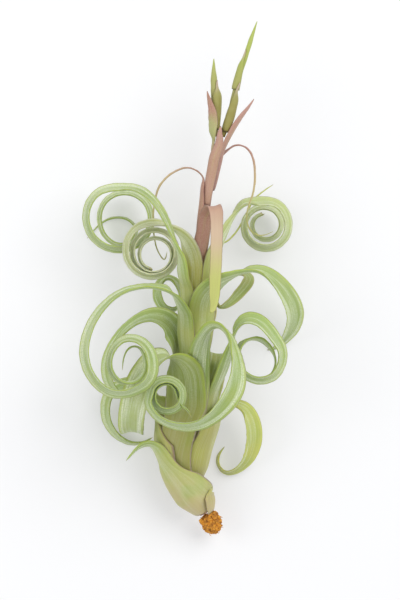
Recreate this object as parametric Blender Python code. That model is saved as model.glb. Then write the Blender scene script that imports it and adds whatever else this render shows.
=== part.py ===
"""Air plant: a curly-leaved tillandsia in bud, lying on its back on its own curls.

X is to the right, Y runs from the root to the flower spike and Z is up, away from the surface at Z = 0.
All lengths in the tables below are millimetres; MM turns them into metres.
"""

import math

import bmesh
import bpy
import numpy as np

MM = 0.001

# Sets the middle of the plant's box over the origin.
PLAN_SHIFT = (-1.3, 0.8, 0.0)

# The stem: its centre line from the root end to the start of the spikes, as (x, y, z), and its radius.
STEM_LINE = (
    (9.0, -153.6, 18.9),
    (6.4, -149.2, 20.4),
    (2.2, -141.0, 23.0),
    (-1.4, -125.0, 27.0),
    (-2.3, -105.0, 31.0),
    (1.0, -80.0, 36.0),
    (4.2, -47.0, 41.0),
    (4.9, -15.0, 45.0),
    (5.2, 10.0, 48.0),
    (8.8, 34.0, 50.0),
    (14.6, 70.0, 53.0),
    (18.6, 90.0, 54.5),
)
STEM_RADII = (4.0, 1.9)

# The two flower spikes, and the crumbly stump of old roots: centre lines and radii.
LONG_SPIKE_LINE = (
    (20.9, 91.5, 55.0),
    (25.0, 103.0, 56.5),
    (27.8, 115.0, 57.5),
    (30.8, 128.0, 58.5),
    (35.0, 141.0, 59.0),
    (39.3, 154.5, 59.5),
    (43.2, 166.0, 60.0),
)
LONG_SPIKE_RADII = (1.4, 2.2, 1.9, 1.6, 1.6, 1.5, 0.25)
SHORT_SPIKE_LINE = (
    (16.4, 91.5, 54.5),
    (16.0, 103.0, 54.5),
    (16.2, 115.0, 55.0),
    (15.3, 128.0, 55.5),
    (15.2, 142.0, 56.0),
)
SHORT_SPIKE_RADII = (1.4, 2.6, 2.9, 2.1, 0.25)
ROOT_LINE = (
    (10.6, -155.9, 18.0),
    (12.0, -157.6, 17.4),
    (14.0, -159.6, 16.8),
    (13.8, -162.2, 16.0),
    (12.4, -164.8, 15.2),
    (12.0, -166.2, 14.8),
)
ROOT_RADII = (4.2, 5.6, 5.6, 5.9, 4.6, 2.2)

# Leaf bases are nested: each is set on the stem a little above the last one and opens as a cone.
SHEATH_THICKNESS = 0.7
SHEATH_FLARE = 6.2
SHEATH_FLARE_LENGTH = 6.0
SHEATH_SLOPE = 0.27
STEM_GAP = 0.4

# How far leaf bases set at these heights spread, as a share of the full cone.
SPREAD_AT = (-157.0, -100.0, -80.0, -47.0, -15.0, 10.0, 34.0, 90.0)
SPREAD = (1.0, 0.95, 0.80, 0.68, 0.56, 0.40, 0.18, 0.16)

# Free blades: thickness, half the angle of their channel in radians, and how finely rows follow a curl.
LEAF_THICKNESS = 1.3
BLADE_HALF_ANGLE = 0.62
SHEATH_COLUMNS = 8
BLADE_COLUMNS = 4
ROW_TURN = 0.40
ROW_LENGTH = 13.0

# Plain colours of the pieces, as linear red, green and blue.
PALE_GREEN = (0.50, 0.60, 0.38)
LEAF_GREEN = (0.36, 0.48, 0.20)
OLIVE_GREEN = (0.28, 0.36, 0.07)
YELLOW_GREEN = (0.46, 0.55, 0.16)
BRACT_PINK = (0.48, 0.27, 0.26)
ROOT_BROWN = (0.42, 0.20, 0.05)


def natural_spline(knots, values, at):
    """The smooth curve through the rows of values, at the given parameters."""
    knots = np.asarray(knots, float)
    values = np.asarray(values, float)
    at = np.asarray(at, float)
    count = len(knots)
    gap = np.diff(knots)
    system = np.eye(count)
    right = np.zeros_like(values)
    for i in range(1, count - 1):
        system[i, i - 1 : i + 2] = gap[i - 1], 2.0 * (gap[i - 1] + gap[i]), gap[i]
        rise_after = (values[i + 1] - values[i]) / gap[i]
        rise_before = (values[i] - values[i - 1]) / gap[i - 1]
        right[i] = 6.0 * (rise_after - rise_before)
    bend = np.linalg.solve(system, right)
    low = np.clip(np.searchsorted(knots, at) - 1, 0, count - 2)
    step = gap[low][:, None]
    after = (at - knots[low])[:, None] / step
    before = 1.0 - after
    straight = before * values[low] + after * values[low + 1]
    curve = (before**3 - before) * bend[low] + (after**3 - after) * bend[low + 1]
    return straight + curve * step**2 / 6.0


def unit(vectors):
    return vectors / np.linalg.norm(vectors, axis=-1, keepdims=True)


class Axis:
    """A stem or spike that leaf bases wrap: its centre line, its radius and how far the bases spread."""

    def __init__(self, line, radii, spread_at, spread):
        self.points = np.array(line)
        self.radii = radii
        self.spread_at = spread_at
        self.spread = spread

    def point(self, y):
        return natural_spline(self.points[:, 1], self.points, [y])[0]

    def direction(self, y):
        return unit(self.point(y + 0.5) - self.point(y - 0.5))

    def radius(self, y):
        ends = self.points[0, 1], self.points[-1, 1]
        return float(np.interp(y, np.linspace(*ends, len(self.radii)), self.radii))

    def sheath_radius(self, y, attach, outside):
        """How far from the centre line a leaf base set at `attach` is at height y."""
        above = max(y - attach, 0.0)
        opening = SHEATH_FLARE * (1.0 - math.exp(-above / SHEATH_FLARE_LENGTH)) + SHEATH_SLOPE * above
        spread = float(np.interp(y, self.spread_at, self.spread))
        return self.radius(y) + STEM_GAP + SHEATH_THICKNESS / 2.0 + outside + spread * opening

    def outward(self, y, angle):
        """The outward direction at an angle round the stem: 0 is up, 90 is to the right."""
        return facing(self.direction(y), angle)


STEM = Axis(STEM_LINE, STEM_RADII, SPREAD_AT, SPREAD)
LONG_SPIKE = Axis(LONG_SPIKE_LINE, LONG_SPIKE_RADII, (91.0, 166.0), (0.03, 0.03))
SHORT_SPIKE = Axis(SHORT_SPIKE_LINE, SHORT_SPIKE_RADII, (91.0, 142.0), (0.03, 0.03))


def facing(along, angle):
    """The direction a blade's outer face looks: 0 is up, 90 is to the right of the way it runs."""
    up = unit(np.array((0.0, 0.0, 1.0)) - along[2] * along)
    right = np.cross(along, up)
    turn = math.radians(angle)
    return math.cos(turn) * up + math.sin(turn) * right


def leaf_stations(axis, attach, outside, sheath_end, sheath_face, sheath_half, blade):
    """Stations up a leaf: middle, outward direction, width, half angle of its section, share of blade."""
    stations = []
    steps = 5 if sheath_end - attach > 14.0 else 4
    for i in range(steps):
        share = i / (steps - 1)
        y = attach + 0.8 + (sheath_end - attach - 0.8) * share
        angle = np.interp(share, np.linspace(0.0, 1.0, len(sheath_face)), sheath_face)
        half = math.radians(np.interp(share, np.linspace(0.0, 1.0, len(sheath_half)), sheath_half))
        outward = axis.outward(y, angle)
        radius = axis.sheath_radius(y, attach, outside)
        middle = axis.point(y) + radius * outward
        stations.append([middle, outward, 2.0 * radius * half, half, 0.0, axis.direction(y)])
    for i, (x, y, z, width, face) in enumerate(blade):
        share = 1.0 if i else 0.5
        stations.append([np.array((x, y, z), float), face, width, BLADE_HALF_ANGLE, share, None])
    middles = np.array([s[0] for s in stations])
    knots = np.concatenate([[0.0], np.cumsum(np.linalg.norm(np.diff(middles, axis=0), axis=1) ** 0.8)])
    ahead = natural_spline(knots, middles, np.minimum(knots + 0.02, knots[-1]))
    behind = natural_spline(knots, middles, np.maximum(knots - 0.02, 0.0))
    for station, along in zip(stations, unit(ahead - behind)):
        if station[5] is None:
            station[5] = along
            if isinstance(station[1], tuple):
                station[1] = np.array(station[1], float)
            else:
                station[1] = facing(along, station[1])
    return knots, stations


def leaf_rows(stations, knots, thickness, turn, length):
    """Rows of points across the leaf, each a closed loop from the left margin over the outer face."""
    fine = np.linspace(0.0, knots[-1], 900)
    middle = natural_spline(knots, [s[0] for s in stations], fine)
    outward = natural_spline(knots, [s[1] for s in stations], fine)
    width = np.interp(fine, knots, [s[2] for s in stations])
    half = np.interp(fine, knots, [s[3] for s in stations])
    share = np.interp(fine, knots, [s[4] for s in stations])
    stem_way = natural_spline(knots, [s[5] for s in stations], fine)
    along = unit(np.gradient(middle, axis=0))
    along = unit(along * share[:, None] + unit(stem_way) * (1.0 - share[:, None]))
    outward = unit(outward - np.sum(outward * along, axis=1)[:, None] * along)
    across = np.cross(along, outward)
    travelled = np.linalg.norm(np.diff(middle, axis=0), axis=1)
    bent = np.linalg.norm(np.diff(along, axis=0), axis=1)
    turned = bent + 0.6 * np.linalg.norm(np.diff(outward, axis=0), axis=1)
    measure = np.concatenate([[0.0], np.cumsum(travelled / length + turned / turn)])
    count = max(8, int(math.ceil(measure[-1])))
    picked = np.interp(np.linspace(0.0, measure[-1], count + 1), measure, np.arange(len(fine)))
    rows = []
    for at in picked:
        i = min(int(at), len(fine) - 2)
        part = at - i

        def between(values):
            return values[i] * (1.0 - part) + values[i + 1] * part

        columns = SHEATH_COLUMNS if between(share) < 0.45 and between(half) > 0.7 else BLADE_COLUMNS
        out_way = unit(between(outward))
        side_way = unit(between(across))
        half_angle = between(half)
        radius = max(between(width), 0.7) / (2.0 * half_angle)
        thick = SHEATH_THICKNESS + (thickness - SHEATH_THICKNESS) * min(between(share) * 1.2, 1.0)
        thick = min(thick, 0.35 * max(between(width), 0.9))
        outer, inner = [], []
        for j in range(columns + 1):
            v = -1.0 + 2.0 * j / columns
            angle = half_angle * v
            radial = math.sin(angle) * side_way + math.cos(angle) * out_way
            point = between(middle) + radius * (radial - out_way)
            lift = 0.5 * thick * (1.0 - v**4) * radial
            outer.append(point + lift)
            inner.append(point - lift)
        rows.append(outer + inner[-2:0:-1])
    return rows


def skin(rows):
    """Vertices and faces of the closed body through the loops of points."""
    vertices, faces, starts = [], [], []
    for row in rows:
        starts.append(len(vertices))
        vertices.extend(row)
    for a, b, row_a, row_b in zip(starts, starts[1:], rows, rows[1:]):
        m, n = len(row_a), len(row_b)
        if m == n:
            for k in range(m):
                l = (k + 1) % m
                faces.append((a + k, a + l, b + l, b + k))
        elif m == 2 * n:
            for k in range(n):
                l = (k + 1) % n
                middle = a + 2 * k + 1
                faces.append((a + 2 * k, middle, b + k))
                faces.append((middle, b + l, b + k))
                faces.append((middle, a + (2 * k + 2) % m, b + l))
    for start, row, first in ((starts[0], rows[0], True), (starts[-1], rows[-1], False)):
        m = len(row)
        half = m // 2
        for j in range(half):
            outer = (start + j, start + j + 1)
            inner = (start + (m - j) % m, start + (m - j - 1) % m)
            loop = [outer[0], outer[1], inner[1], inner[0]]
            loop = [v for i, v in enumerate(loop) if v not in loop[:i]]
            faces.append(tuple(loop[::-1]) if first else tuple(loop))
    return vertices, faces


def paint(name, colour, roughness):
    material = bpy.data.materials.new(name)
    material.use_nodes = True
    shader = material.node_tree.nodes["Principled BSDF"]
    shader.inputs["Base Color"].default_value = (*colour, 1.0)
    shader.inputs["Roughness"].default_value = roughness
    material.diffuse_color = (*colour, 1.0)
    return material


def add_object(name, vertices, faces, colour, roughness=0.6):
    points = (np.array(vertices) + PLAN_SHIFT) * MM
    mesh = bpy.data.meshes.new(name)
    volume = 0.0
    for face in faces:
        for i in range(1, len(face) - 1):
            volume += np.dot(points[face[0]], np.cross(points[face[i]], points[face[i + 1]]))
    if volume < 0.0:
        faces = [face[::-1] for face in faces]
    mesh.from_pydata([tuple(p) for p in points], [], faces)
    mesh.update()
    mesh.materials.append(paint(name + "_colour", colour, roughness))
    made = bpy.data.objects.new(name, mesh)
    PLANT.objects.link(made)
    return made


def spiral(centre, centre_end, radius, radius_end, angle, angle_end, height, height_end,
           width, width_end, face, face_end, step=45.0):
    """Blade stations round a curl whose centre, radius, height, width and facing all change evenly."""
    count = max(3, round(abs(angle_end - angle) / step))
    stations = []
    for i in range(count + 1):
        share = i / count
        turn = math.radians(angle + (angle_end - angle) * share)
        reach = radius + (radius_end - radius) * share
        x = centre[0] + (centre_end[0] - centre[0]) * share + reach * math.cos(turn)
        y = centre[1] + (centre_end[1] - centre[1]) * share + reach * math.sin(turn)
        stations.append((
            x,
            y,
            height + (height_end - height) * share,
            width + (width_end - width) * share,
            face + (face_end - face) * share,
        ))
    return stations


def leaf(name, colour, attach, sheath_end, sheath_face, sheath_half, blade,
         thickness=LEAF_THICKNESS, turn=ROW_TURN, length=ROW_LENGTH, rests=False, axis=STEM, outside=0.0):
    """One leaf or bract: a sheath round the stem that opens into a channelled, curling blade.

    A leaf that rests has its free part lowered until it just touches the surface.
    """
    blade = list(blade)
    for _ in range(4 if rests else 1):
        knots, stations = leaf_stations(axis, attach, outside, sheath_end, sheath_face, sheath_half, blade)
        rows = leaf_rows(stations, knots, thickness, turn, length)
        if not rests:
            break
        lowest = min(point[2] for row in rows for point in row)
        lowered = []
        for i, (x, y, z, width, face) in enumerate(blade):
            share = min(max((i + 0.5) / (0.6 * len(blade)), 0.0), 1.0)
            lowered.append((x, y, z - lowest * share * share * (3.0 - 2.0 * share), width, face))
        blade = lowered
    vertices, faces = skin(rows)
    return add_object(name, vertices, faces, colour)


def stalk(name, colour, line, radii, count, resolution=2):
    """A round tapering stalk swept along a smooth line, with closed ends."""
    line = np.array(line)
    knots = np.concatenate([[0.0], np.cumsum(np.linalg.norm(np.diff(line, axis=0), axis=1))])
    at = np.linspace(0.0, knots[-1], count)
    points = natural_spline(knots, line, at)
    sizes = np.interp(at, np.linspace(0.0, knots[-1], len(radii)), radii)
    curve = bpy.data.curves.new(name, "CURVE")
    curve.dimensions = "3D"
    curve.bevel_depth = MM
    curve.bevel_resolution = resolution
    curve.use_fill_caps = True
    spline = curve.splines.new("POLY")
    spline.points.add(count - 1)
    for point, place, size in zip(spline.points, points, sizes):
        point.co = (*((place + PLAN_SHIFT) * MM), 1.0)
        point.radius = size
    swept = bpy.data.objects.new(name + "_sweep", curve)
    PLANT.objects.link(swept)
    bpy.context.view_layer.update()
    graph = bpy.context.evaluated_depsgraph_get()
    mesh = bpy.data.meshes.new_from_object(swept.evaluated_get(graph))
    bpy.data.objects.remove(swept)
    mesh.name = name
    shape = bmesh.new()
    shape.from_mesh(mesh)
    bmesh.ops.remove_doubles(shape, verts=shape.verts, dist=1e-6)
    bmesh.ops.recalc_face_normals(shape, faces=shape.faces)
    shape.to_mesh(mesh)
    shape.free()
    mesh.materials.clear()
    mesh.materials.append(paint(name + "_colour", colour, 0.6))
    made = bpy.data.objects.new(name, mesh)
    PLANT.objects.link(made)
    return made


def roughen(thing, depth):
    """Lumps the surface of a piece with a few crossed waves, keeping it closed."""
    for vertex in thing.data.vertices:
        x, y, z = (value / MM for value in vertex.co)
        wave = math.sin(1.9 * x + 0.7 * y) + math.sin(1.3 * y - 2.1 * z + 1.0)
        wave += math.sin(1.7 * z + 1.1 * x + 2.0)
        vertex.co = vertex.co + vertex.normal * depth * MM * wave / 3.0


for old in list(bpy.data.objects):
    bpy.data.objects.remove(old)

PLANT = bpy.data.collections.new("air_plant")
bpy.context.scene.collection.children.link(PLANT)


# Lower leaves, from the root end up. The two outer ones wrap the bulb.
leaf(
    "outer_leaf_lower_left", PALE_GREEN, attach=-153.4, sheath_end=-114,
    sheath_face=(-14, -20, -36, -64), sheath_half=(140, 96, 64, 40),
    blade=[
        (-25.4, -109.9, 41, 15, -72),
        (-30.9, -109.9, 42.5, 11.5, -78),
        (-36.4, -113.4, 43, 7, -84),
        (-41.9, -119.3, 43, 1.2, -90),
    ],
    outside=0.3,
)
leaf(
    "leaf_left_broad", PALE_GREEN, attach=-142.5, sheath_end=-92,
    sheath_face=(-60, -50, -42, -24, -16), sheath_half=(100, 66, 50, 35, 33),
    blade=[
        (-3.9, -82.2, 58, 30, -12),
        (-3.6, -72.2, 62, 28.5, -14),
        (-4.9, -61.4, 67, 27, -26),
        (-9.4, -54.6, 70, 24, -60),
        (-15.9, -51.7, 71.5, 22, -105),
        (-22.4, -54.6, 71.5, 21, -130),
        (-27.9, -61.1, 67.5, 20, -150),
        (-32.2, -68.6, 65.5, 20, -163),
        (-35.4, -78.3, 62, 19.5, -168),
        (-37.4, -87.4, 54, 19, -170),
        (-38.4, -95.2, 45, 18, (0.1, 0.75, -0.66)),
        (-38, -99.8, 36, 16, (0.05, 1, -0.1)),
        (-36.7, -99.1, 27, 12, (0, 0.8, 0.6)),
        (-34.1, -93.3, 22, 8, (0.1, 0.2, 1)),
        (-32.2, -86.8, 22, 1.5, (0.1, -0.2, 1)),
    ],
)
leaf(
    "outer_leaf_lower_right", YELLOW_GREEN, attach=-136.5, sheath_end=-94,
    sheath_face=(70, 66, 66), sheath_half=(104, 70, 44),
    blade=[
        (23.1, -84.8, 38, 16, 80),
        (30.2, -84.2, 37, 15.5, 105),
        (36.1, -88.7, 34, 15, 130),
        (40, -97.8, 29, 14, 145),
        (40.3, -108.9, 22, 13, 148),
        (36.7, -119.3, 15, 10, 140),
        (30.2, -125.8, 9, 8, 125),
        (23.7, -127.7, 6, 6, 115),
        (18.9, -123.8, 4, 5, 110),
        (18.5, -117.3, 3, 4, 110),
        (22.4, -111.2, 3, 1, 110),
    ],
    rests=True,
)
leaf(
    "leaf_lower_left_back", LEAF_GREEN, attach=-149, sheath_end=-92,
    sheath_face=(-122, -120, -116, -112, -122), sheath_half=(94, 94, 92, 88, 50),
    blade=[
        (-24.4, -80.3, 20.5, 13, -122),
        (-31.5, -71.8, 22, 14.5, -115),
        (-41.3, -70.5, 21, 14.5, -122),
        (-50.4, -75.1, 21, 14, -122),
        (-54.3, -84.2, 17, 13.5, -120),
        (-53.3, -94.6, 13, 12.5, -118),
        (-47.8, -103, 10, 11, -112),
        (-39.3, -107.9, 8, 9, -105),
        (-30.2, -107.6, 7, 6, -100),
        (-25, -105, 6.5, 1.2, -95),
    ],
    rests=True,
)
leaf(
    "leaf_front_ring", LEAF_GREEN, attach=-123, sheath_end=-82,
    sheath_face=(1, 1), sheath_half=(48, 34),
    blade=[
        (4.2, -72.5, 59.8, 17.2, 0),
        (5.2, -61.4, 64.5, 17, 8),
        (6.2, -50.4, 72, 16.5, 22),
        (8.1, -41.3, 83, 15.5, 46),
        (12, -34.5, 92, 15.5, 66),
        (17.9, -32.2, 98, 16, 82),
        (23.1, -36.7, 100, 16.5, 94),
        (26.3, -45.2, 100, 17, 106),
        (28.3, -54.9, 99, 17.5, 118),
        (28.3, -65.3, 97, 17.8, 134),
        (26, -73.8, 95, 17.5, 140),
        (20.5, -82.2, 93, 17, 134),
        (13.3, -89, 90.5, 16.5, 124),
        (4.9, -93.6, 88, 16, 116),
        (-4.2, -94.9, 85.5, 15, 112),
        (-14, -93, 83, 14, 109),
        (-22.1, -87.8, 81, 12.5, 110),
        (-26, -80.9, 79.5, 11.5, 114),
    ] + spiral(
        (-15.3, -76.7), (-15, -76.4),
        10.4, 7.8, 184, -290, 79, 78, 11, 9, 118, 116,
    ) + [
        (-6.2, -82.2, 75.5, 6, 104),
        (-2.3, -85.5, 74, 4, 95),
        (0.7, -90.7, 73.5, 1, 90),
    ],
)
leaf(
    "leaf_right_coil", LEAF_GREEN, attach=-114, sheath_end=-84,
    sheath_face=(55, 60), sheath_half=(46, 38),
    blade=[
        (16.2, -75.7, 48, 15.5, 66),
        (20.5, -65.3, 57, 15.5, 66),
        (24.4, -54.3, 64, 16.5, 66),
        (27.3, -43.2, 69.5, 16, 78),
        (30.2, -33.5, 75, 15.5, 100),
        (36.7, -27.9, 79, 15.5, 118),
        (44.5, -29.9, 80.5, 15, 124),
        (51.7, -37.4, 80.5, 14.5, 122),
        (57.2, -45.8, 79, 14, 118),
    ] + spiral(
        (43.6, -51.7), (45.2, -50.4),
        14.6, 14, 4, -180, 77, 70, 13.5, 11, 116, 112,
    ) + [
        (33.1, -44.5, 69, 11, 104),
        (38, -40.6, 67.5, 10.5, 90),
        (44.9, -41, 66, 10, 76),
        (51, -45.8, 64.5, 8.5, 78),
        (54.9, -53, 63.5, 5, 90),
        (53.3, -60.8, 62.5, 3, 100),
        (47.8, -66, 62, 1, 104),
    ],
)
leaf(
    "leaf_right_folded_back", OLIVE_GREEN, attach=-104, sheath_end=-80,
    sheath_face=(130, 124, 124), sheath_half=(70, 46, 34),
    blade=[
        (14, -69.9, 35.5, 14.5, 140),
        (16.6, -61.4, 37.5, 15.5, 158),
        (18.2, -54.6, 38.5, 15, (0, -0.15, -1)),
        (18.9, -50.4, 35, 15, (0, -1, -0.25)),
        (18.5, -53, 27, 15, (0, -0.8, 0.6)),
        (17.2, -60.8, 20, 14, (0, -0.3, 1)),
        (15.9, -70.5, 15, 12, (0, -0.2, 1)),
        (14.6, -79.6, 12.5, 9, (0, -0.1, 1)),
        (12.7, -88.7, 10, 5, (0, 0, 1)),
        (10.7, -95.9, 9, 1.2, (0, 0, 1)),
    ],
)

# Middle leaves: the loops on the left and the big hook on the right.
leaf(
    "leaf_left_second_ring", LEAF_GREEN, attach=-90, sheath_end=-54,
    sheath_face=(-106, -108), sheath_half=(50, 38),
    blade=[
        (-9.1, -43.9, 38, 20, -128),
        (-11.7, -34.8, 39.5, 21, -146),
        (-17.6, -28.3, 42.5, 19, -138),
        (-25.4, -26.3, 44.5, 16.5, -127),
        (-34.1, -28.9, 45.5, 15, -116),
        (-42.2, -34.8, 45, 14, -112),
        (-48.1, -42.6, 43, 13.5, -116),
        (-52.3, -51.7, 41, 13, -122),
        (-53.6, -61.1, 39.5, 12.5, -124),
        (-51, -69.9, 39, 12, -120),
        (-45.2, -75.1, 38.5, 11, -112),
        (-36.7, -73.8, 38, 9, -104),
        (-29.6, -68.6, 37.5, 5, -100),
        (-27, -62.7, 37, 1.2, -95),
    ],
)
leaf(
    "leaf_left_small_loop", LEAF_GREEN, attach=-80, sheath_end=-44,
    sheath_face=(-174, -174, -176), sheath_half=(60, 34, 20),
    blade=[
        (-2, -28.9, 23.5, 12, -154),
        (-4.9, -16.6, 23.5, 13, -126),
        (-8.8, -5.5, 23.5, 13, -110),
        (-15, -1, 24, 12.5, -102),
        (-19.5, -4.9, 23.5, 12.5, -112),
        (-20.2, -12.7, 22.5, 12, -122),
        (-15.9, -19.2, 21.5, 10.5, -118),
        (-10.1, -19.8, 21, 7, -110),
        (-6.8, -16.6, 20.5, 1.2, -105),
    ],
)
leaf(
    "leaf_left_large_loop", PALE_GREEN, attach=-68, sheath_end=-34,
    sheath_face=(-46, -50), sheath_half=(48, 42),
    blade=[
        (-5.2, -25.7, 56, 18, -54),
        (-7.5, -17.9, 64.5, 17, -68),
        (-11.1, -11.7, 74, 16, -88),
        (-16.6, -8.5, 81.5, 15, -100),
        (-25, -6.8, 86, 14, -98),
        (-34.8, -7.5, 88.5, 13.5, -100),
        (-44.9, -11.1, 89, 13.5, -104),
        (-53.3, -17.6, 89, 13, -110),
        (-60.5, -26.7, 88.5, 13, -115),
        (-65.3, -37.4, 88, 13, -118),
        (-67, -48.4, 87.5, 13, -120),
        (-64.7, -59.1, 87.5, 13, -119),
        (-59.1, -67.6, 87.5, 13, -117),
        (-51.7, -72.8, 87.5, 13, -116),
        (-43.2, -73.8, 87.5, 13, -115),
        (-34.8, -71.2, 87.5, 13, -118),
        (-27.9, -66, 87.5, 13, -123),
        (-25.4, -56.2, 87, 13, -126),
        (-27.9, -46.8, 86, 12.5, -122),
        (-34.8, -41, 84.5, 12, -115),
        (-42.6, -41, 83, 11.5, -112),
        (-48.8, -46.5, 82, 11, -112),
        (-51.4, -54.3, 81, 10.5, -112),
        (-49.4, -62.4, 80, 10, -110),
        (-42.9, -67.3, 79, 9.5, -100),
        (-35.4, -66.3, 78.5, 9, -82),
        (-30.6, -60.1, 78, 8, -70),
        (-30.2, -52, 77.5, 6, -72),
        (-33.8, -45.2, 76.5, 4.5, -84),
        (-39, -45.5, 75.5, 3.5, -94),
        (-42.9, -51.7, 74.5, 2.5, -96),
        (-43.9, -60.1, 74, 0.9, -95),
    ],
)
leaf(
    "leaf_right_big_hook", PALE_GREEN, attach=-58, sheath_end=-22,
    sheath_face=(12, 14), sheath_half=(54, 46),
    blade=[
        (10.1, -13.3, 60, 19, 26),
        (15.9, -6.2, 63, 17.5, 46),
        (24.4, -1, 66, 16, 66),
        (33.5, 2.6, 68, 14.5, 86),
        (41.9, 3.9, 66.5, 14, 106),
        (50.1, 0.7, 62, 14.5, 124),
        (57.5, -5.9, 54, 15, 138),
        (64, -15, 43.5, 15.5, 148),
        (67.3, -25, 32, 15, 148),
        (65, -34.8, 22, 12, 140),
        (59.8, -42.2, 15, 8, 126),
        (54.9, -46.1, 11, 4.5, 116),
        (50.4, -47.5, 9, 1.2, 108),
    ],
    rests=True,
)
leaf(
    "leaf_right_channelled", OLIVE_GREEN, attach=-50, sheath_end=-20,
    sheath_face=(120, 114, 112), sheath_half=(80, 56, 38),
    blade=[
        (14.6, -10.1, 37, 12, 108),
        (19.8, -4.2, 34.5, 11, 100),
        (27, 0, 33, 10, 96),
        (33.8, 2, 33, 9.5, 104),
        (37.1, 0, 34.5, 9.5, 130),
        (34.8, -5.5, 38, 9.5, 148),
        (29.2, -12, 41.5, 8.5, 146),
        (23.1, -17.2, 44, 7, 130),
        (18.9, -18.5, 45, 5, 108),
        (18.2, -15.9, 45.5, 1, 98),
    ],
    turn=0.5,
)

# Upper leaves, whose blades roll up into watch-spring coils.
leaf(
    "leaf_left_upper_coil", PALE_GREEN, attach=-42, sheath_end=-6,
    sheath_face=(-52, -56), sheath_half=(50, 42),
    blade=[
        (-6.5, 2.3, 58, 15, -60),
        (-6.8, 11.4, 62.5, 14, -70),
        (-9.8, 20.5, 66, 13.2, -88),
        (-13.7, 29.6, 68, 12.5, -102),
        (-18.2, 39.3, 68.5, 12.5, -110),
        (-25.4, 49.7, 66, 12.5, -113),
        (-34.5, 56.2, 60, 12.5, -114),
    ] + spiral(
        (-48.8, 37.1), (-42.9, 38.7),
        21.1, 16.2, 75, 440, 53, 26, 12.5, 10, -114, -110,
    ) + [
        (-51, 53, 23.5, 9.4, -110),
        (-57.2, 46.8, 21.5, 8.8, -110),
        (-59.1, 38.7, 19.5, 8.2, -110),
        (-56.9, 29.9, 17.5, 7.6, -110),
        (-51, 23.7, 15.5, 7, -110),
        (-43.6, 22.4, 13.5, 6.4, -110),
        (-37.4, 26.3, 12, 5.8, -110),
        (-36.4, 32.5, 11, 5, -108),
        (-40.6, 37.7, 10.5, 4.4, -106),
        (-47.5, 39.6, 10, 4, -104),
        (-54.3, 38.4, 9.5, 3.5, -102),
        (-60.8, 34.1, 9, 2.6, -102),
        (-67.9, 26, 9, 0.8, -100),
    ],
    rests=True,
)
leaf(
    "leaf_right_upper_coil", YELLOW_GREEN, attach=-33, sheath_end=1,
    sheath_face=(46, 50), sheath_half=(52, 35),
    blade=[
        (15.6, 12.7, 52, 14.5, 50),
        (19.8, 22.4, 50, 14, 58),
        (24.7, 32.2, 47.5, 13.5, 72),
        (29.6, 41, 45, 13, 92),
        (36.1, 47.5, 42, 13, 108),
    ] + spiral(
        (48.1, 33.5), (49.1, 35.1),
        15.9, 6.8, 112, -620, 39, 11, 13, 6, 118, 108,
    ),
    rests=True,
)
leaf(
    "leaf_front_upper_coil", OLIVE_GREEN, attach=-24, sheath_end=7,
    sheath_face=(-16, -22), sheath_half=(54, 44),
    blade=[
        (0, 14.6, 54.5, 14.5, -26),
        (-3.6, 23.1, 54, 13.5, -44),
        (-8.8, 29.2, 51.5, 13, -72),
        (-16.2, 33.8, 49, 12, -100),
    ] + spiral(
        (-25, 17.9), (-23.1, 14),
        17.2, 8.8, 76, 980, 49.5, 46.5, 11.5, 6, -114, -104,
    ),
)
leaf(
    "leaf_thin_back_right", YELLOW_GREEN, attach=-12, sheath_end=14,
    sheath_face=(84, 84), sheath_half=(44, 34),
    blade=[
        (15.3, 19.8, 37, 6, 86),
        (21.1, 22.4, 27, 4.6, 92),
        (26.3, 25.7, 18, 3.8, 98),
        (31.5, 32.2, 13, 3.2, 100),
        (36.7, 41.9, 11.5, 2.8, 100),
        (41.6, 51, 11, 2.4, 104),
        (47.1, 56.2, 11, 2, 108),
        (54.3, 61.1, 11.5, 0.8, 108),
    ],
    turn=0.6,
    thickness=0.9,
)

# Bracts of the flower stalk: long thin ones below, short pointed ones under the spikes.
leaf(
    "bract_folded_forward", BRACT_PINK, attach=6, sheath_end=40,
    sheath_face=(0, 4), sheath_half=(60, 48),
    blade=[
        (12.3, 42.9, 59, 10, (0.1, -0.75, 0.66)),
        (14.3, 45.8, 65, 10, (0.05, -1, 0.05)),
        (16.2, 43.6, 69.5, 9.6, (0, -0.6, -0.8)),
        (16.9, 36.1, 71, 8.8, (-0.1, -0.05, -1)),
        (16.8, 24.4, 71, 8.4, (-0.12, 0, -1)),
        (16.4, 10.1, 71, 8.2, (-0.15, 0, -1)),
        (15.8, -1.6, 71, 8.2, (-0.2, 0, -1)),
        (15.3, -10.7, 71.3, 7.8, (-0.35, -0.05, -0.93)),
        (14.8, -16.6, 72, 6.6, (-0.5, -0.2, -0.84)),
        (14, -20.8, 73, 4.2, (-0.5, -0.5, -0.7)),
        (12.7, -22.8, 74, 1.2, (-0.5, -0.6, -0.6)),
    ],
    thickness=0.9,
    length=16,
)
leaf(
    "bract_left_long", BRACT_PINK, attach=24, sheath_end=60,
    sheath_face=(-66, -88), sheath_half=(78, 46),
    blade=[
        (8, 64.7, 50.6, 4, -88),
        (4.5, 68.9, 50.4, 3.6, -94),
        (-1.6, 71.2, 50.5, 3.4, -100),
        (-8.5, 69.5, 50, 3.4, -105),
        (-15.3, 65, 49.5, 3.3, -108),
        (-20.2, 58.8, 48, 3.2, -110),
        (-22.8, 51, 45.5, 3.1, -108),
        (-24.1, 41.9, 41, 3, -104),
        (-24.1, 32.2, 37, 2.9, -98),
        (-23.1, 23.7, 35, 2.7, -92),
        (-20.5, 15.9, 33.5, 2.4, -88),
        (-17.2, 12, 33, 2, -85),
        (-15.3, 17.2, 32.5, 0.8, -80),
    ],
    thickness=0.8,
    turn=0.55,
    length=16,
)
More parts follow.
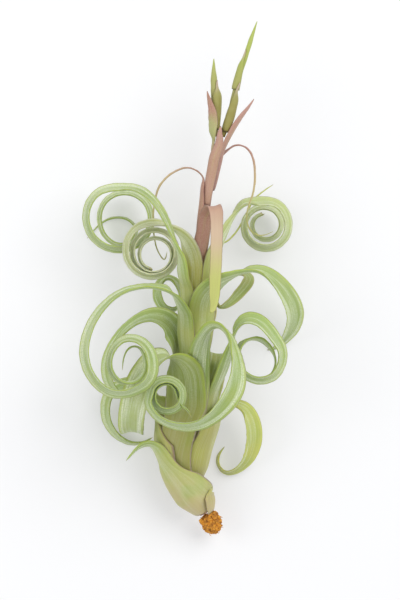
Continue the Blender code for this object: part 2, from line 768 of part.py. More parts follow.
leaf(
    "bract_right_long", BRACT_PINK, attach=64, sheath_end=78,
    sheath_face=(136, 132), sheath_half=(32, 24),
    blade=[
        (24.1, 82.5, 50.6, 3.6, 112),
        (28.9, 85.5, 53, 3.6, 100),
        (34.1, 85.2, 54.5, 3.6, 100),
        (39, 80.6, 55, 3.5, 106),
        (41.3, 72.5, 55.5, 3.4, 108),
        (41.6, 63.4, 55.5, 3.3, 108),
        (40.3, 54.3, 55.5, 3.1, 106),
        (37.7, 46.5, 55, 2.8, 100),
        (36.4, 39.3, 54, 2.4, 84),
        (38, 32.2, 52.5, 2.1, 70),
        (43.2, 27.6, 51, 1.8, 66),
        (49.1, 27.9, 50, 1.4, 80),
        (53.6, 29.9, 49.5, 0.7, 90),
    ],
    thickness=0.8,
    turn=0.55,
    length=16,
)
leaf(
    "bract_centre", BRACT_PINK, attach=46, sheath_end=80,
    sheath_face=(-20, -4), sheath_half=(50, 42),
    blade=[
        (18.5, 85.5, 59.3, 6.4, 2),
        (19, 91.3, 60.3, 4.8, 4),
        (19.6, 98.2, 60.8, 0.9, 6),
    ],
    thickness=0.8,
    turn=0.7,
)
leaf(
    "bract_right_upper", BRACT_PINK, attach=56, sheath_end=83,
    sheath_face=(72, 68), sheath_half=(32, 34),
    blade=[
        (24.9, 89.7, 56, 8, 68),
        (29.2, 97.8, 56.5, 7, 60),
        (33.1, 104, 57.5, 5.2, 54),
        (37.4, 109.9, 58, 3, 50),
        (41.3, 115.7, 58.5, 0.8, 50),
    ],
    thickness=0.8,
    turn=0.7,
)
leaf(
    "bract_left_upper", BRACT_PINK, attach=78, sheath_end=88,
    sheath_face=(-84, -76), sheath_half=(42, 40),
    blade=[
        (13.8, 92.6, 58.5, 6.2, -52),
        (14, 99.8, 59.8, 8, -36),
        (13.5, 107.6, 60, 7, -36),
        (12, 114.7, 59.5, 4, -42),
        (10.7, 120.9, 59.5, 0.8, -48),
    ],
    thickness=0.8,
    turn=0.7,
)

# A dried scrap of an old leaf on the bulb.
leaf(
    "old_leaf_base", YELLOW_GREEN, attach=-155.0, sheath_end=-144,
    sheath_face=(40, 40), sheath_half=(30, 20),
    blade=[
        (13, -140.1, 34, 3.2, 38),
        (14, -137.2, 35, 0.8, 38),
    ],
    thickness=0.7,
    turn=0.7,
    length=6,
    outside=1.5,
)

# Scales that wrap the flower spikes.
leaf(
    "scale_long_spike_lower", YELLOW_GREEN, attach=94, sheath_end=116,
    sheath_face=(24, 40), sheath_half=(116, 64),
    blade=[
        (30, 119.9, 61.2, 2.4, 44),
        (32.4, 126.4, 61.7, 0.7, 40),
    ],
    thickness=0.6,
    turn=0.8,
    length=7,
    axis=LONG_SPIKE,
)
leaf(
    "scale_long_spike_upper", YELLOW_GREEN, attach=121, sheath_end=137,
    sheath_face=(-20, -42), sheath_half=(112, 60),
    blade=[
        (33.7, 141.4, 61.2, 2.2, -44),
        (35.9, 147.9, 61.5, 0.7, -40),
    ],
    thickness=0.6,
    turn=0.8,
    length=7,
    axis=LONG_SPIKE,
)
leaf(
    "scale_short_spike", YELLOW_GREEN, attach=95, sheath_end=118,
    sheath_face=(24, 40), sheath_half=(116, 66),
    blade=[
        (17.6, 122.9, 58.2, 2.6, 42),
        (17.4, 128.1, 58, 0.7, 40),
    ],
    thickness=0.6,
    turn=0.8,
    length=7,
    axis=SHORT_SPIKE,
)

# The stem, the two flower spikes and the stump of old roots.
stalk("stem", BRACT_PINK, STEM_LINE, STEM_RADII, 22)
stalk("flower_spike_long", YELLOW_GREEN, LONG_SPIKE_LINE, LONG_SPIKE_RADII, 20)
stalk("flower_spike_short", YELLOW_GREEN, SHORT_SPIKE_LINE, SHORT_SPIKE_RADII, 14)
roughen(stalk("root_stump", ROOT_BROWN, ROOT_LINE, ROOT_RADII, 14, 4), 1.3)
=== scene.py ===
"""The air plant as it looks: every leaf, bract, spike scale and root crumb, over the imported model.

The tables are in millimetres, and MM turns them into metres. X is to the right, Y runs to the spike, Z is up.
"""

import math
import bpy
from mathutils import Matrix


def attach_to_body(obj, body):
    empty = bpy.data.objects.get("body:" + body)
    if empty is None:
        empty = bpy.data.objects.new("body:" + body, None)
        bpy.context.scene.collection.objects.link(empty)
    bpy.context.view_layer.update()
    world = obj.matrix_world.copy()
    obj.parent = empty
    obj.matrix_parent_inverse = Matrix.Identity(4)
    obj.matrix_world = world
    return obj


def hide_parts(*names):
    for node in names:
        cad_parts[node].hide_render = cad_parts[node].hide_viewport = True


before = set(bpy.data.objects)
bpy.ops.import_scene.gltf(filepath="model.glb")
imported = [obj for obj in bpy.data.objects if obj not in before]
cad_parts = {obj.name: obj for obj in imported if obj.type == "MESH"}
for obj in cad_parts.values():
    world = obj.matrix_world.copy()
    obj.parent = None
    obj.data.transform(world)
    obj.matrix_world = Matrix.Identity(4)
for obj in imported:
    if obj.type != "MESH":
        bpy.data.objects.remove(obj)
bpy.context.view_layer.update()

from types import SimpleNamespace

import bmesh
import bpy
import numpy as np
from mathutils import Vector

MM = 0.001
PLAN_SHIFT = np.array((-1.3, 0.8, 0.0))

# The stem: its centre line from the root end to the start of the spikes, as (x, y, z), and its radius.
STEM_LINE = (
    (9.0, -153.6, 18.9), (6.4, -149.2, 20.4), (2.2, -141.0, 23.0), (-1.4, -125.0, 27.0),
    (-2.3, -105.0, 31.0), (1.0, -80.0, 36.0), (4.2, -47.0, 41.0), (4.9, -15.0, 45.0), (5.2, 10.0, 48.0),
    (8.8, 34.0, 50.0), (14.6, 70.0, 53.0), (18.6, 90.0, 54.5),
)
STEM_RADII = (4.0, 1.9)

# The two flower spikes, and the crumbly stump of old roots: centre lines and radii.
LONG_SPIKE_LINE = (
    (20.9, 91.5, 55.0), (25.0, 103.0, 56.5), (27.8, 115.0, 57.5), (30.8, 128.0, 58.5), (35.0, 141.0, 59.0),
    (39.3, 154.5, 59.5), (43.2, 166.0, 60.0),
)
LONG_SPIKE_RADII = (1.4, 2.2, 1.9, 1.6, 1.6, 1.5, 0.25)
SHORT_SPIKE_LINE = (
    (16.4, 91.5, 54.5), (16.0, 103.0, 54.5), (16.2, 115.0, 55.0), (15.3, 128.0, 55.5), (15.2, 142.0, 56.0),
)
SHORT_SPIKE_RADII = (1.4, 2.6, 2.9, 2.1, 0.25)
ROOT_LINE = (
    (10.6, -155.9, 18.0), (12.0, -157.6, 17.4), (14.0, -159.6, 16.8), (13.8, -162.2, 16.0),
    (12.4, -164.8, 15.2), (12.0, -166.2, 14.8),
)
ROOT_RADII = (4.2, 5.6, 5.6, 5.9, 4.6, 2.2)

# Leaf bases are nested: each is set on the stem a little above the last one and opens as a cone.
SHEATH_THICKNESS = 0.7
SHEATH_FLARE = 6.2
SHEATH_FLARE_LENGTH = 6.0
SHEATH_SLOPE = 0.27
STEM_GAP = 0.4

# How far leaf bases set at these heights spread, as a share of the full cone.
SPREAD_AT = (-157.0, -100.0, -80.0, -47.0, -15.0, 10.0, 34.0, 90.0)
SPREAD = (1.0, 0.95, 0.80, 0.68, 0.56, 0.40, 0.18, 0.16)

# Free blades, in millimetres: thickness, least width and how far the margins wave. Then half the angle of
# their channel, in radians, and how finely rows follow a curl.
LEAF_THICKNESS = 1.3
LEAST_WIDTH = 0.5
MARGIN_WAVE = 0.1
BLADE_HALF_ANGLE = 0.62
ROW_TURN = 0.10
ROW_LENGTH = 1.9
FINE_STEPS = 1600
POINTS_ACROSS = 14

# The two ripples of a margin, in radians per metre along the blade; the share of the half width at which the
# margin starts; and how near two points are joined, in metres.
LONG_RIPPLE = 610
SHORT_RIPPLE = 1290
MARGIN_AT = 0.999
WELD_DISTANCE = 2e-6

# What each point of a leaf or stalk carries for its finish.
CARRIED = ("across", "side", "along", "life", "blade")

# Floor, light and camera, in metres and watts. The camera is straight above, and so far off that nothing
# looks foreshortened.
WORLD_LIGHT = 0.74
KEY_POWER = 52.0
FILL_POWER = 7.0
FLOOR_GLOW = 0.29
FLOOR_REACH = 6.0
FLOOR_GREY = (0.60, 0.60, 0.60, 1.0)
FLOOR_GLOW_TINT = (0.97, 0.97, 1.0, 1.0)
SKY_TINT = (0.97, 0.98, 1.0, 1.0)
CAMERA_HEIGHT = 4.0
SENSOR_WIDTH = 36.0
VIEW_PLANE = 0.05
VIEW_LENGTH = 0.390
VIEW_MIDDLE = (0.0049, -0.0138)


# ---------------------------------------------------------------- node trees as expressions


class Value:
    """A socket of a node tree that can stand in sums, so that `1 - mask` adds its Math nodes."""

    def __init__(self, maker, socket):
        self.maker = maker
        self.socket = socket

    def math(self, operation, *others):
        return self.maker.math(operation, self, *others)

    def __add__(self, other):
        return self.math("ADD", other)

    def __radd__(self, other):
        return self.maker.math("ADD", other, self)

    def __sub__(self, other):
        return self.math("SUBTRACT", other)

    def __rsub__(self, other):
        return self.maker.math("SUBTRACT", other, self)

    def __mul__(self, other):
        return self.math("MULTIPLY", other)

    def __rmul__(self, other):
        return self.maker.math("MULTIPLY", other, self)

    def __pow__(self, other):
        return self.math("POWER", other)

    def absolute(self):
        return self.math("ABSOLUTE")


class Maker:
    """Adds nodes to one tree."""

    def __init__(self, tree):
        self.tree = tree

    def node(self, kind, settings=None, **links):
        """One node: its settings are set first, then each socket's value or link, by name or by number."""
        made = self.tree.nodes.new(kind)
        for key, value in (settings or {}).items():
            setattr(made, key, value)
        for key, value in links.items():
            name = key[1:] if key.startswith("_") else key.replace("_", " ")
            socket = made.inputs[int(name)] if name.isdigit() else made.inputs[name]
            self.feed(socket, value)
        return made

    def feed(self, socket, value):
        if isinstance(value, Value):
            self.tree.links.new(value.socket, socket)
        else:
            socket.default_value = value

    def value(self, kind, settings=None, out=0, **links):
        return Value(self, self.node(kind, settings, **links).outputs[out])

    def math(self, operation, *values, kind="ShaderNodeMath"):
        made = self.node(kind, {"operation": operation})
        for socket, value in zip(made.inputs, values):
            self.feed(socket, value)
        return Value(self, made.outputs[0])

    def vector(self, operation, *values):
        return self.math(operation, *values, kind="ShaderNodeVectorMath")

    def scaled(self, vector, scale):
        """A vector made longer or shorter by a number."""
        return self.value("ShaderNodeVectorMath", {"operation": "SCALE"}, _0=vector, Scale=scale)

    def smooth(self, value, low, high, from_low=0.0, from_high=1.0):
        """`value` taken smoothly from low..high to from_low..from_high."""
        return self.value(
            "ShaderNodeMapRange",
            {"interpolation_type": "SMOOTHSTEP"},
            _0=value, _1=low, _2=high, _3=from_low, _4=from_high,
        )

    def mix(self, factor, a, b):
        """Two colours mixed by a factor."""
        a, b = ((*colour, 1.0) if isinstance(colour, tuple) else colour for colour in (a, b))
        settings = {"data_type": "RGBA", "clamp_factor": True}
        return self.value("ShaderNodeMix", settings, out=2, _0=factor, _6=a, _7=b)


# ---------------------------------------------------------------- leaf blades by rule


def open_tree(name, source, measures):
    """A Geometry Nodes tree whose inputs are a source, measures by name and a finish: (maker, the inputs)."""
    tree = bpy.data.node_groups.new(name, "GeometryNodeTree")
    rows = ((source, "Geometry", None), *measures, ("Finish", "Material", None))
    for label, kind, start in rows:
        socket = tree.interface.new_socket(label, in_out="INPUT", socket_type="NodeSocket" + kind)
        if start is not None:
            socket.default_value = start
    tree.interface.new_socket("Made", in_out="OUTPUT", socket_type="NodeSocketGeometry")
    maker = Maker(tree)
    given = maker.node("NodeGroupInput").outputs
    return maker, [Value(maker, given[i]) for i in range(len(rows))]


def close_tree(maker, made, finish):
    """The end of every tree: plain geometry that wears one finish."""
    real = maker.value("GeometryNodeRealizeInstances", Geometry=made)
    done = maker.value("GeometryNodeSetMaterial", Geometry=real, Material=finish)
    maker.node("NodeGroupOutput", Made=done)
    return maker.tree


def ribbon_tree():
    """A channelled blade grown along a mid-line: every row of the body is an arc with a thin lens section."""
    maker, (line, across_count, rows, wave, seed, finish) = open_tree("leaf_blade", "Mid-line", (
        ("Points across", "Int", 14),
        ("Rows", "Int", 100),
        ("Margin wave", "Float", 0.0001),
        ("Wave seed", "Float", 0.0),
    ))
    sheet = maker.value(
        "GeometryNodeMeshGrid", Size_X=1.0, Size_Y=1.0, Vertices_X=across_count * 2 + 1, Vertices_Y=rows
    )
    place = maker.node("ShaderNodeSeparateXYZ", Vector=maker.value("GeometryNodeInputPosition"))
    around = (Value(maker, place.outputs[0]) + 0.5) * 2
    share = Value(maker, place.outputs[1]) + 0.5
    row = maker.math("ROUND", share * (rows - 1))

    def at_row(name, kind="FLOAT"):
        if name == "position":
            field = maker.value("GeometryNodeInputPosition")
        else:
            field = maker.value("GeometryNodeInputNamedAttribute", {"data_type": kind}, Name=name)
        made = maker.node("GeometryNodeSampleIndex", {"data_type": kind}, Geometry=line, Index=row)
        maker.feed(made.inputs[1], field)
        return Value(maker, made.outputs[0])

    middle = at_row("position", "FLOAT_VECTOR")
    outward = at_row("outward", "FLOAT_VECTOR")
    sideways = at_row("sideways", "FLOAT_VECTOR")
    radius, half, thick, along, life, blade = map(
        at_row, ("radius", "half", "thick", "along", "life", "blade")
    )

    across = 1 - 2 * (around - 1).absolute()
    edge = across.absolute()
    side = maker.math("SIGN", 1 - around) * (1 - maker.math("GREATER_THAN", edge, MARGIN_AT))
    angle = half * across
    radial = maker.vector(
        "ADD",
        maker.scaled(sideways, maker.math("SINE", angle)),
        maker.scaled(outward, maker.math("COSINE", angle)),
    )
    from_middle = maker.scaled(maker.vector("SUBTRACT", radial, outward), radius)
    long_wave = maker.math("SINE", along * LONG_RIPPLE + seed)
    ripple = long_wave + maker.math("SINE", along * SHORT_RIPPLE + seed * 2 + across * 2)
    lift = side * thick * 0.5 * (1 - edge**4) + ripple * wave * edge**3 * blade
    body = maker.vector("ADD", middle, maker.vector("ADD", from_middle, maker.scaled(radial, lift)))
    marked = sheet
    settings = {"data_type": "FLOAT", "domain": "POINT"}
    for name, field in zip(CARRIED, (across, side, along, life, blade)):
        marked = maker.value(
            "GeometryNodeStoreNamedAttribute", settings, Geometry=marked, Name=name, Value=field
        )
    shaped = maker.value("GeometryNodeSetPosition", Geometry=marked, Position=body)
    welded = maker.value("GeometryNodeMergeByDistance", Geometry=shaped, Distance=WELD_DISTANCE)
    soft = maker.value("GeometryNodeSetShadeSmooth", Geometry=welded, Shade_Smooth=True)
    return close_tree(maker, soft, finish)


def placed(name, data):
    """A new object of the scene that shows a mesh, a light or a camera."""
    made = bpy.data.objects.new(name, data)
    bpy.context.scene.collection.objects.link(made)
    return made


def run_tree(name, mesh, tree, inputs):
    """The plain mesh that a Geometry Nodes tree makes from a mesh, with each named input set."""
    source = placed(name + "_source", mesh)
    modifier = source.modifiers.new("grow", "NODES")
    modifier.node_group = tree
    for item in tree.interface.items_tree:
        if item.item_type == "SOCKET" and item.in_out == "INPUT" and item.name in inputs:
            modifier[item.identifier] = inputs[item.name]
    bpy.context.view_layer.update()
    graph = bpy.context.evaluated_depsgraph_get()
    made = bpy.data.meshes.new_from_object(source.evaluated_get(graph))
    bpy.data.objects.remove(source)
    made.name = name
    return made


def midline_mesh(name, rows):
    """The mid-line of a blade as a mesh whose points carry each row's measures."""
    mesh = bpy.data.meshes.new(name + "_midline")
    count = len(rows["along"])
    mesh.from_pydata([tuple(p) for p in rows["position"]], [(i, i + 1) for i in range(count - 1)], [])
    for key, values in rows.items():
        if key == "position":
            continue
        kind = "FLOAT_VECTOR" if values.ndim == 2 else "FLOAT"
        attribute = mesh.attributes.new(key, kind, "POINT")
        field = "vector" if values.ndim == 2 else "value"
        attribute.data.foreach_set(field, values.astype(np.float32).ravel())
    return mesh


def keep_outward(mesh):
    """Turns the faces outwards where the closed body came out inside out."""
    shape = bmesh.new()
    shape.from_mesh(mesh)
    bmesh.ops.dissolve_degenerate(shape, edges=shape.edges, dist=1e-7)
    bmesh.ops.recalc_face_normals(shape, faces=shape.faces)
    if shape.calc_volume(signed=True) < 0.0:
        bmesh.ops.reverse_faces(shape, faces=shape.faces)
    shape.to_mesh(mesh)
    shape.free()


def add_piece(name, mesh):
    """A finished piece: it rides on the one body and stands for its CAD node."""
    made = placed(name + "_skin", mesh)
    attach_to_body(made, "root")
    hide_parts(name)
    return made


# ---------------------------------------------------------------- mid-lines, by the same rule as the model


def natural_spline(knots, values, at):
    """The smooth curve through the rows of values, at the given parameters."""
    knots = np.asarray(knots, float)
    values = np.asarray(values, float)
    at = np.asarray(at, float)
    count = len(knots)
    gap = np.diff(knots)
    system = np.eye(count)
    right = np.zeros_like(values)
    for i in range(1, count - 1):
        system[i, i - 1 : i + 2] = gap[i - 1], 2.0 * (gap[i - 1] + gap[i]), gap[i]
        rise_after = (values[i + 1] - values[i]) / gap[i]
        rise_before = (values[i] - values[i - 1]) / gap[i - 1]
        right[i] = 6.0 * (rise_after - rise_before)
    bend = np.linalg.solve(system, right)
    low = np.clip(np.searchsorted(knots, at) - 1, 0, count - 2)
    step = gap[low][:, None]
    after = (at - knots[low])[:, None] / step
    before = 1.0 - after
    straight = before * values[low] + after * values[low + 1]
    curve = (before**3 - before) * bend[low] + (after**3 - after) * bend[low + 1]
    return straight + curve * step**2 / 6.0


def unit(vectors):
    return vectors / np.linalg.norm(vectors, axis=-1, keepdims=True)


def facing(along, angle):
    """The direction a blade's outer face looks: 0 is up, 90 is to the right of the way it runs."""
    up = unit(np.array((0.0, 0.0, 1.0)) - along[2] * along)
    right = np.cross(along, up)
    turn = math.radians(angle)
    return math.cos(turn) * up + math.sin(turn) * right


class Axis:
    """A stem or spike that leaf bases wrap: its centre line, its radius and how far the bases spread."""

    def __init__(self, line, radii, spread_at, spread):
        self.points = np.array(line)
        self.radii = radii
        self.spread_at = spread_at
        self.spread = spread

    def point(self, y):
        return natural_spline(self.points[:, 1], self.points, [y])[0]

    def direction(self, y):
        return unit(self.point(y + 0.5) - self.point(y - 0.5))

    def radius(self, y):
        ends = self.points[0, 1], self.points[-1, 1]
        return float(np.interp(y, np.linspace(*ends, len(self.radii)), self.radii))

    def sheath_radius(self, y, attach, outside):
        """How far from the centre line a leaf base set at `attach` is at height y."""
        above = max(y - attach, 0.0)
        opening = SHEATH_FLARE * (1.0 - math.exp(-above / SHEATH_FLARE_LENGTH)) + SHEATH_SLOPE * above
        spread = float(np.interp(y, self.spread_at, self.spread))
        return self.radius(y) + STEM_GAP + SHEATH_THICKNESS / 2.0 + outside + spread * opening

    def outward(self, y, angle):
        """The outward direction at an angle round the stem: 0 is up, 90 is to the right."""
        return facing(self.direction(y), angle)


STEM = Axis(STEM_LINE, STEM_RADII, SPREAD_AT, SPREAD)
LONG_SPIKE = Axis(LONG_SPIKE_LINE, LONG_SPIKE_RADII, (91.0, 166.0), (0.03, 0.03))
SHORT_SPIKE = Axis(SHORT_SPIKE_LINE, SHORT_SPIKE_RADII, (91.0, 142.0), (0.03, 0.03))


def leaf_stations(axis, attach, outside, sheath_end, sheath_face, sheath_half, blade):
    """Stations up a leaf: middle, outward direction, width, half angle, share of blade and way along."""
    stations = []
    steps = 5 if sheath_end - attach > 14.0 else 4
    for i in range(steps):
        share = i / (steps - 1)
        y = attach + 0.8 + (sheath_end - attach - 0.8) * share
        angle = np.interp(share, np.linspace(0.0, 1.0, len(sheath_face)), sheath_face)
        half = math.radians(np.interp(share, np.linspace(0.0, 1.0, len(sheath_half)), sheath_half))
        outward = axis.outward(y, angle)
        radius = axis.sheath_radius(y, attach, outside)
        middle = axis.point(y) + radius * outward
        stations.append([middle, outward, 2.0 * radius * half, half, 0.0, axis.direction(y)])
    for i, (x, y, z, width, face) in enumerate(blade):
        share = 1.0 if i else 0.5
        stations.append([np.array((x, y, z), float), face, width, BLADE_HALF_ANGLE, share, None])
    middles = np.array([s[0] for s in stations])
    knots = np.concatenate([[0.0], np.cumsum(np.linalg.norm(np.diff(middles, axis=0), axis=1) ** 0.8)])
    ahead = natural_spline(knots, middles, np.minimum(knots + 0.02, knots[-1]))
    behind = natural_spline(knots, middles, np.maximum(knots - 0.02, 0.0))
    for station, along in zip(stations, unit(ahead - behind)):
        if station[5] is None:
            station[5] = along
            if isinstance(station[1], tuple):
                station[1] = np.array(station[1], float)
            else:
                station[1] = facing(along, station[1])
    return knots, stations


def leaf_rows(stations, knots, thickness):
    """The measures of each row up a leaf, closest together where the blade curls."""
    fine = np.linspace(0.0, knots[-1], FINE_STEPS)
    middles, outwards, widths, halves, shares, ways = zip(*stations)
    middle, outward, stem_way = (natural_spline(knots, each, fine) for each in (middles, outwards, ways))
    width, half, blade = (np.interp(fine, knots, each) for each in (widths, halves, shares))
    ahead = unit(np.gradient(middle, axis=0))
    ahead = unit(ahead * blade[:, None] + unit(stem_way) * (1.0 - blade[:, None]))
    outward = unit(outward - np.sum(outward * ahead, axis=1)[:, None] * ahead)
    travelled = np.linalg.norm(np.diff(middle, axis=0), axis=1)
    turned = np.linalg.norm(np.diff(ahead, axis=0), axis=1)
    turned += 0.6 * np.linalg.norm(np.diff(outward, axis=0), axis=1)
    measure = np.concatenate([[0.0], np.cumsum(travelled / ROW_LENGTH + turned / ROW_TURN)])
    count = max(12, int(math.ceil(measure[-1])))
    at = np.interp(np.linspace(0.0, measure[-1], count + 1), measure, fine)
    along = np.interp(at, fine, np.concatenate([[0.0], np.cumsum(travelled)]))

    def pick(values):
        if values.ndim == 1:
            return np.interp(at, fine, values)
        return np.stack([np.interp(at, fine, values[:, k]) for k in range(3)], axis=1)

    ahead = unit(pick(ahead))
    outward = unit(pick(outward))
    width, half, blade = pick(width), pick(half), pick(blade)
    width = np.maximum(width, LEAST_WIDTH)
    thick = SHEATH_THICKNESS + (thickness - SHEATH_THICKNESS) * np.minimum(blade * 1.2, 1.0)
    thick = np.minimum(thick * 0.96, 0.35 * np.maximum(width, 0.9))
    thick[[0, -1]] = 0.0
    return {
        "position": pick(middle),
        "outward": outward,
        "sideways": np.cross(ahead, outward),
        "radius": width / (2.0 * half),
        "half": half,
        "thick": thick,
        "along": along,
        "life": along / along[-1],
        "blade": blade,
    }


def lowest_of(rows):
    """The lowest height that any row of the blade comes to."""
    lowest = 1e9
    for share in np.linspace(-1.0, 1.0, 9):
        angle = (rows["half"] * share)[:, None]
        radial = np.sin(angle) * rows["sideways"] + np.cos(angle) * rows["outward"]
        middle = rows["position"] + rows["radius"][:, None] * (radial - rows["outward"])
        half_thick = (0.5 * rows["thick"] * (1.0 - share**4))[:, None]
        lowest = min(lowest, (middle[:, 2] - abs(half_thick[:, 0] * radial[:, 2])).min())
    return lowest


def spiral(centre, centre_end, *ends, step=45.0):
    """Blade stations round a curl whose centre and measures all change evenly.

    `ends` is the first and the last radius, angle, height, width and facing, in that order.
    """
    start = np.array((*centre, *ends[::2]), float)
    change = np.array((*centre_end, *ends[1::2]), float) - start
    count = max(3, round(abs(change[3]) / step))
    stations = []
    for i in range(count + 1):
        x, y, reach, angle, height, width, face = start + change * (i / count)
        turn = math.radians(angle)
        stations.append((x + reach * math.cos(turn), y + reach * math.sin(turn), height, width, face))
    return stations


def leaf(name, slot, attach, sheath_end, sheath_face, sheath_half, blade,
         thickness=LEAF_THICKNESS, rests=False, axis=STEM, outside=0.0):
    """One leaf or bract: a sheath round the stem that opens into a channelled, curling blade.

    Its stations are in millimetres. A leaf that rests has its free part lowered until it touches the surface.
    """
    blade = list(blade)
    for _ in range(4 if rests else 1):
        knots, stations = leaf_stations(axis, attach, outside, sheath_end, sheath_face, sheath_half, blade)
        rows = leaf_rows(stations, knots, thickness)
        if not rests:
            break
        lowest = lowest_of(rows)
        lowered = []
        for i, (x, y, z, width, face) in enumerate(blade):
            share = min(max((i + 0.5) / (0.6 * len(blade)), 0.0), 1.0)
            lowered.append((x, y, z - lowest * share * share * (3.0 - 2.0 * share), width, face))
        blade = lowered
    rows["position"] = (rows["position"] + PLAN_SHIFT) * MM
    for key in ("radius", "thick", "along"):
        rows[key] = rows[key] * MM
    inputs = {
        "Points across": POINTS_ACROSS,
        "Rows": len(rows["along"]),
        "Margin wave": MARGIN_WAVE * MM,
        "Wave seed": float(sum(map(ord, name)) % 97),
        "Finish": FINISHES.get(name, FINISHES[slot]),
    }
    mesh = run_tree(name, midline_mesh(name, rows), BLADE_TREE, inputs)
    keep_outward(mesh)
    return add_piece(name, mesh)


# ---------------------------------------------------------------- finishes

# Turns of each lengthwise pattern across a blade, per metre along it and between its two faces.
VEIN_TURNS = (11, 26, 4)
BAND_TURNS = (2.6, 16, 3)
RIB_TURNS = (34, 14, 7)
BAND_SHIFT = 5

# Noise scales of the cloudy and speckled patterns, per metre.
CLOUD_SCALE = 62.0
SPECK_SCALE = 1500.0
LUMP_SCALE = 420.0
FLECK_SCALE = 1700.0

# Heights along the plant, in metres, between which the base blushes and the spikes change colour.
BLUSH_FROM, BLUSH_FULL = -0.118, -0.156
SPIKE_BASE_ENDS = (0.106, 0.134)
SPIKE_TIP_STARTS = (0.128, 0.152)

# Colours, as linear red, green and blue.
SCURF = (0.80, 0.84, 0.66)
SCURF_PINK = (0.60, 0.45, 0.37)
BASE_BLUSH = (0.55, 0.42, 0.24)
VEIN_PALE = (0.60, 0.65, 0.44)
VEIN_DEEP = (0.27, 0.37, 0.07)
PINK_MARGIN = (0.42, 0.22, 0.20)
GREEN_MARGIN = (0.41, 0.51, 0.06)
DRIED_TIP = (0.44, 0.36, 0.12)
BRACT_PINK = (0.40, 0.18, 0.13)
BRACT_DUSK = (0.46, 0.23, 0.19)
BRACT_CREAM = (0.58, 0.43, 0.29)
BRACT_BROWN = (0.42, 0.23, 0.15)
BRACT_LEAF = (0.36, 0.40, 0.12)
BRACT_TAN = (0.44, 0.24, 0.17)
BRACT_GOLD = (0.55, 0.42, 0.17)
BRACT_OLIVE = (0.49, 0.52, 0.14)
BRACT_DEEP = (0.30, 0.13, 0.12)
SPIKE_GREEN = (0.37, 0.47, 0.06)
SPIKE_OLIVE = (0.27, 0.23, 0.05)
SPIKE_MIDDLE = (0.36, 0.37, 0.10)
SPIKE_PALE = (0.46, 0.45, 0.18)
SPIKE_PINK = (0.55, 0.38, 0.36)
SPIKE_DEEP = (0.26, 0.28, 0.04)
ROOT_ORANGE = (0.72, 0.32, 0.03)
ROOT_PALE = (0.86, 0.48, 0.08)
ROOT_DARK = (0.34, 0.12, 0.015)


def surface(name, roughness=0.6, sheen=0.0):
    """A new material with its Principled shader: (material, maker, shader)."""
    material = bpy.data.materials.new(name)
    material.use_nodes = True
    shader = material.node_tree.nodes["Principled BSDF"]
    shader.inputs["Roughness"].default_value = roughness
    shader.inputs["Sheen Weight"].default_value = sheen
    shader.inputs["Sheen Roughness"].default_value = 0.5
    return material, Maker(material.node_tree), shader


def wear(maker, shader, colour, roughness, height, strength, depth):
    """Gives a shader its varying colour, roughness and relief."""
    maker.feed(shader.inputs["Base Color"], colour)
    maker.feed(shader.inputs["Roughness"], roughness)
    relief = maker.value("ShaderNodeBump", Strength=strength, Distance=depth, Height=height)
    maker.feed(shader.inputs["Normal"], relief)


def carried(maker, name):
    """A number that the mesh carries at each point."""
    return maker.value("ShaderNodeAttribute", {"attribute_name": name}, out=2)


def noise(maker, place, scale, detail=2.0, roughness=0.5):
    settings = {"noise_dimensions": "3D"}
    return maker.value(
        "ShaderNodeTexNoise", settings, Vector=place, Scale=scale, Detail=detail, Roughness=roughness
    )


def grain(maker):
    """The patterns of a leaf's skin: long veins, broad clouds and the specks of its silvery scales."""
    across, along, side = (carried(maker, name) for name in ("across", "along", "side"))
    place = maker.value("ShaderNodeTexCoord", out=3)

    def lengthwise(turns, shift=0):
        x, y, z = (part * turn for part, turn in zip((across, along, side), turns))
        return maker.value("ShaderNodeCombineXYZ", X=x, Y=y, Z=z + shift)

    return SimpleNamespace(
        edge=across.absolute(),
        outer=maker.smooth(side, -0.35, 0.35),
        life=carried(maker, "life"),
        blade=carried(maker, "blade"),
        height=maker.value("ShaderNodeSeparateXYZ", out=1, Vector=place),
        band=noise(maker, lengthwise(BAND_TURNS, BAND_SHIFT), 1.0, 1.0),
        vein=noise(maker, lengthwise(VEIN_TURNS), 1.0, 3.0, 0.6),
        rib=noise(maker, lengthwise(RIB_TURNS), 1.0, 2.0),
        cloud=noise(maker, place, CLOUD_SCALE, 3.0),
        speck=noise(maker, place, SPECK_SCALE, 2.0, 0.6),
    )


def laid_over(maker, colour, *layers):
    """A colour under several layers, each given as its mask and its tint."""
    for mask, tint in layers:
        colour = maker.mix(mask, colour, tint)
    return colour


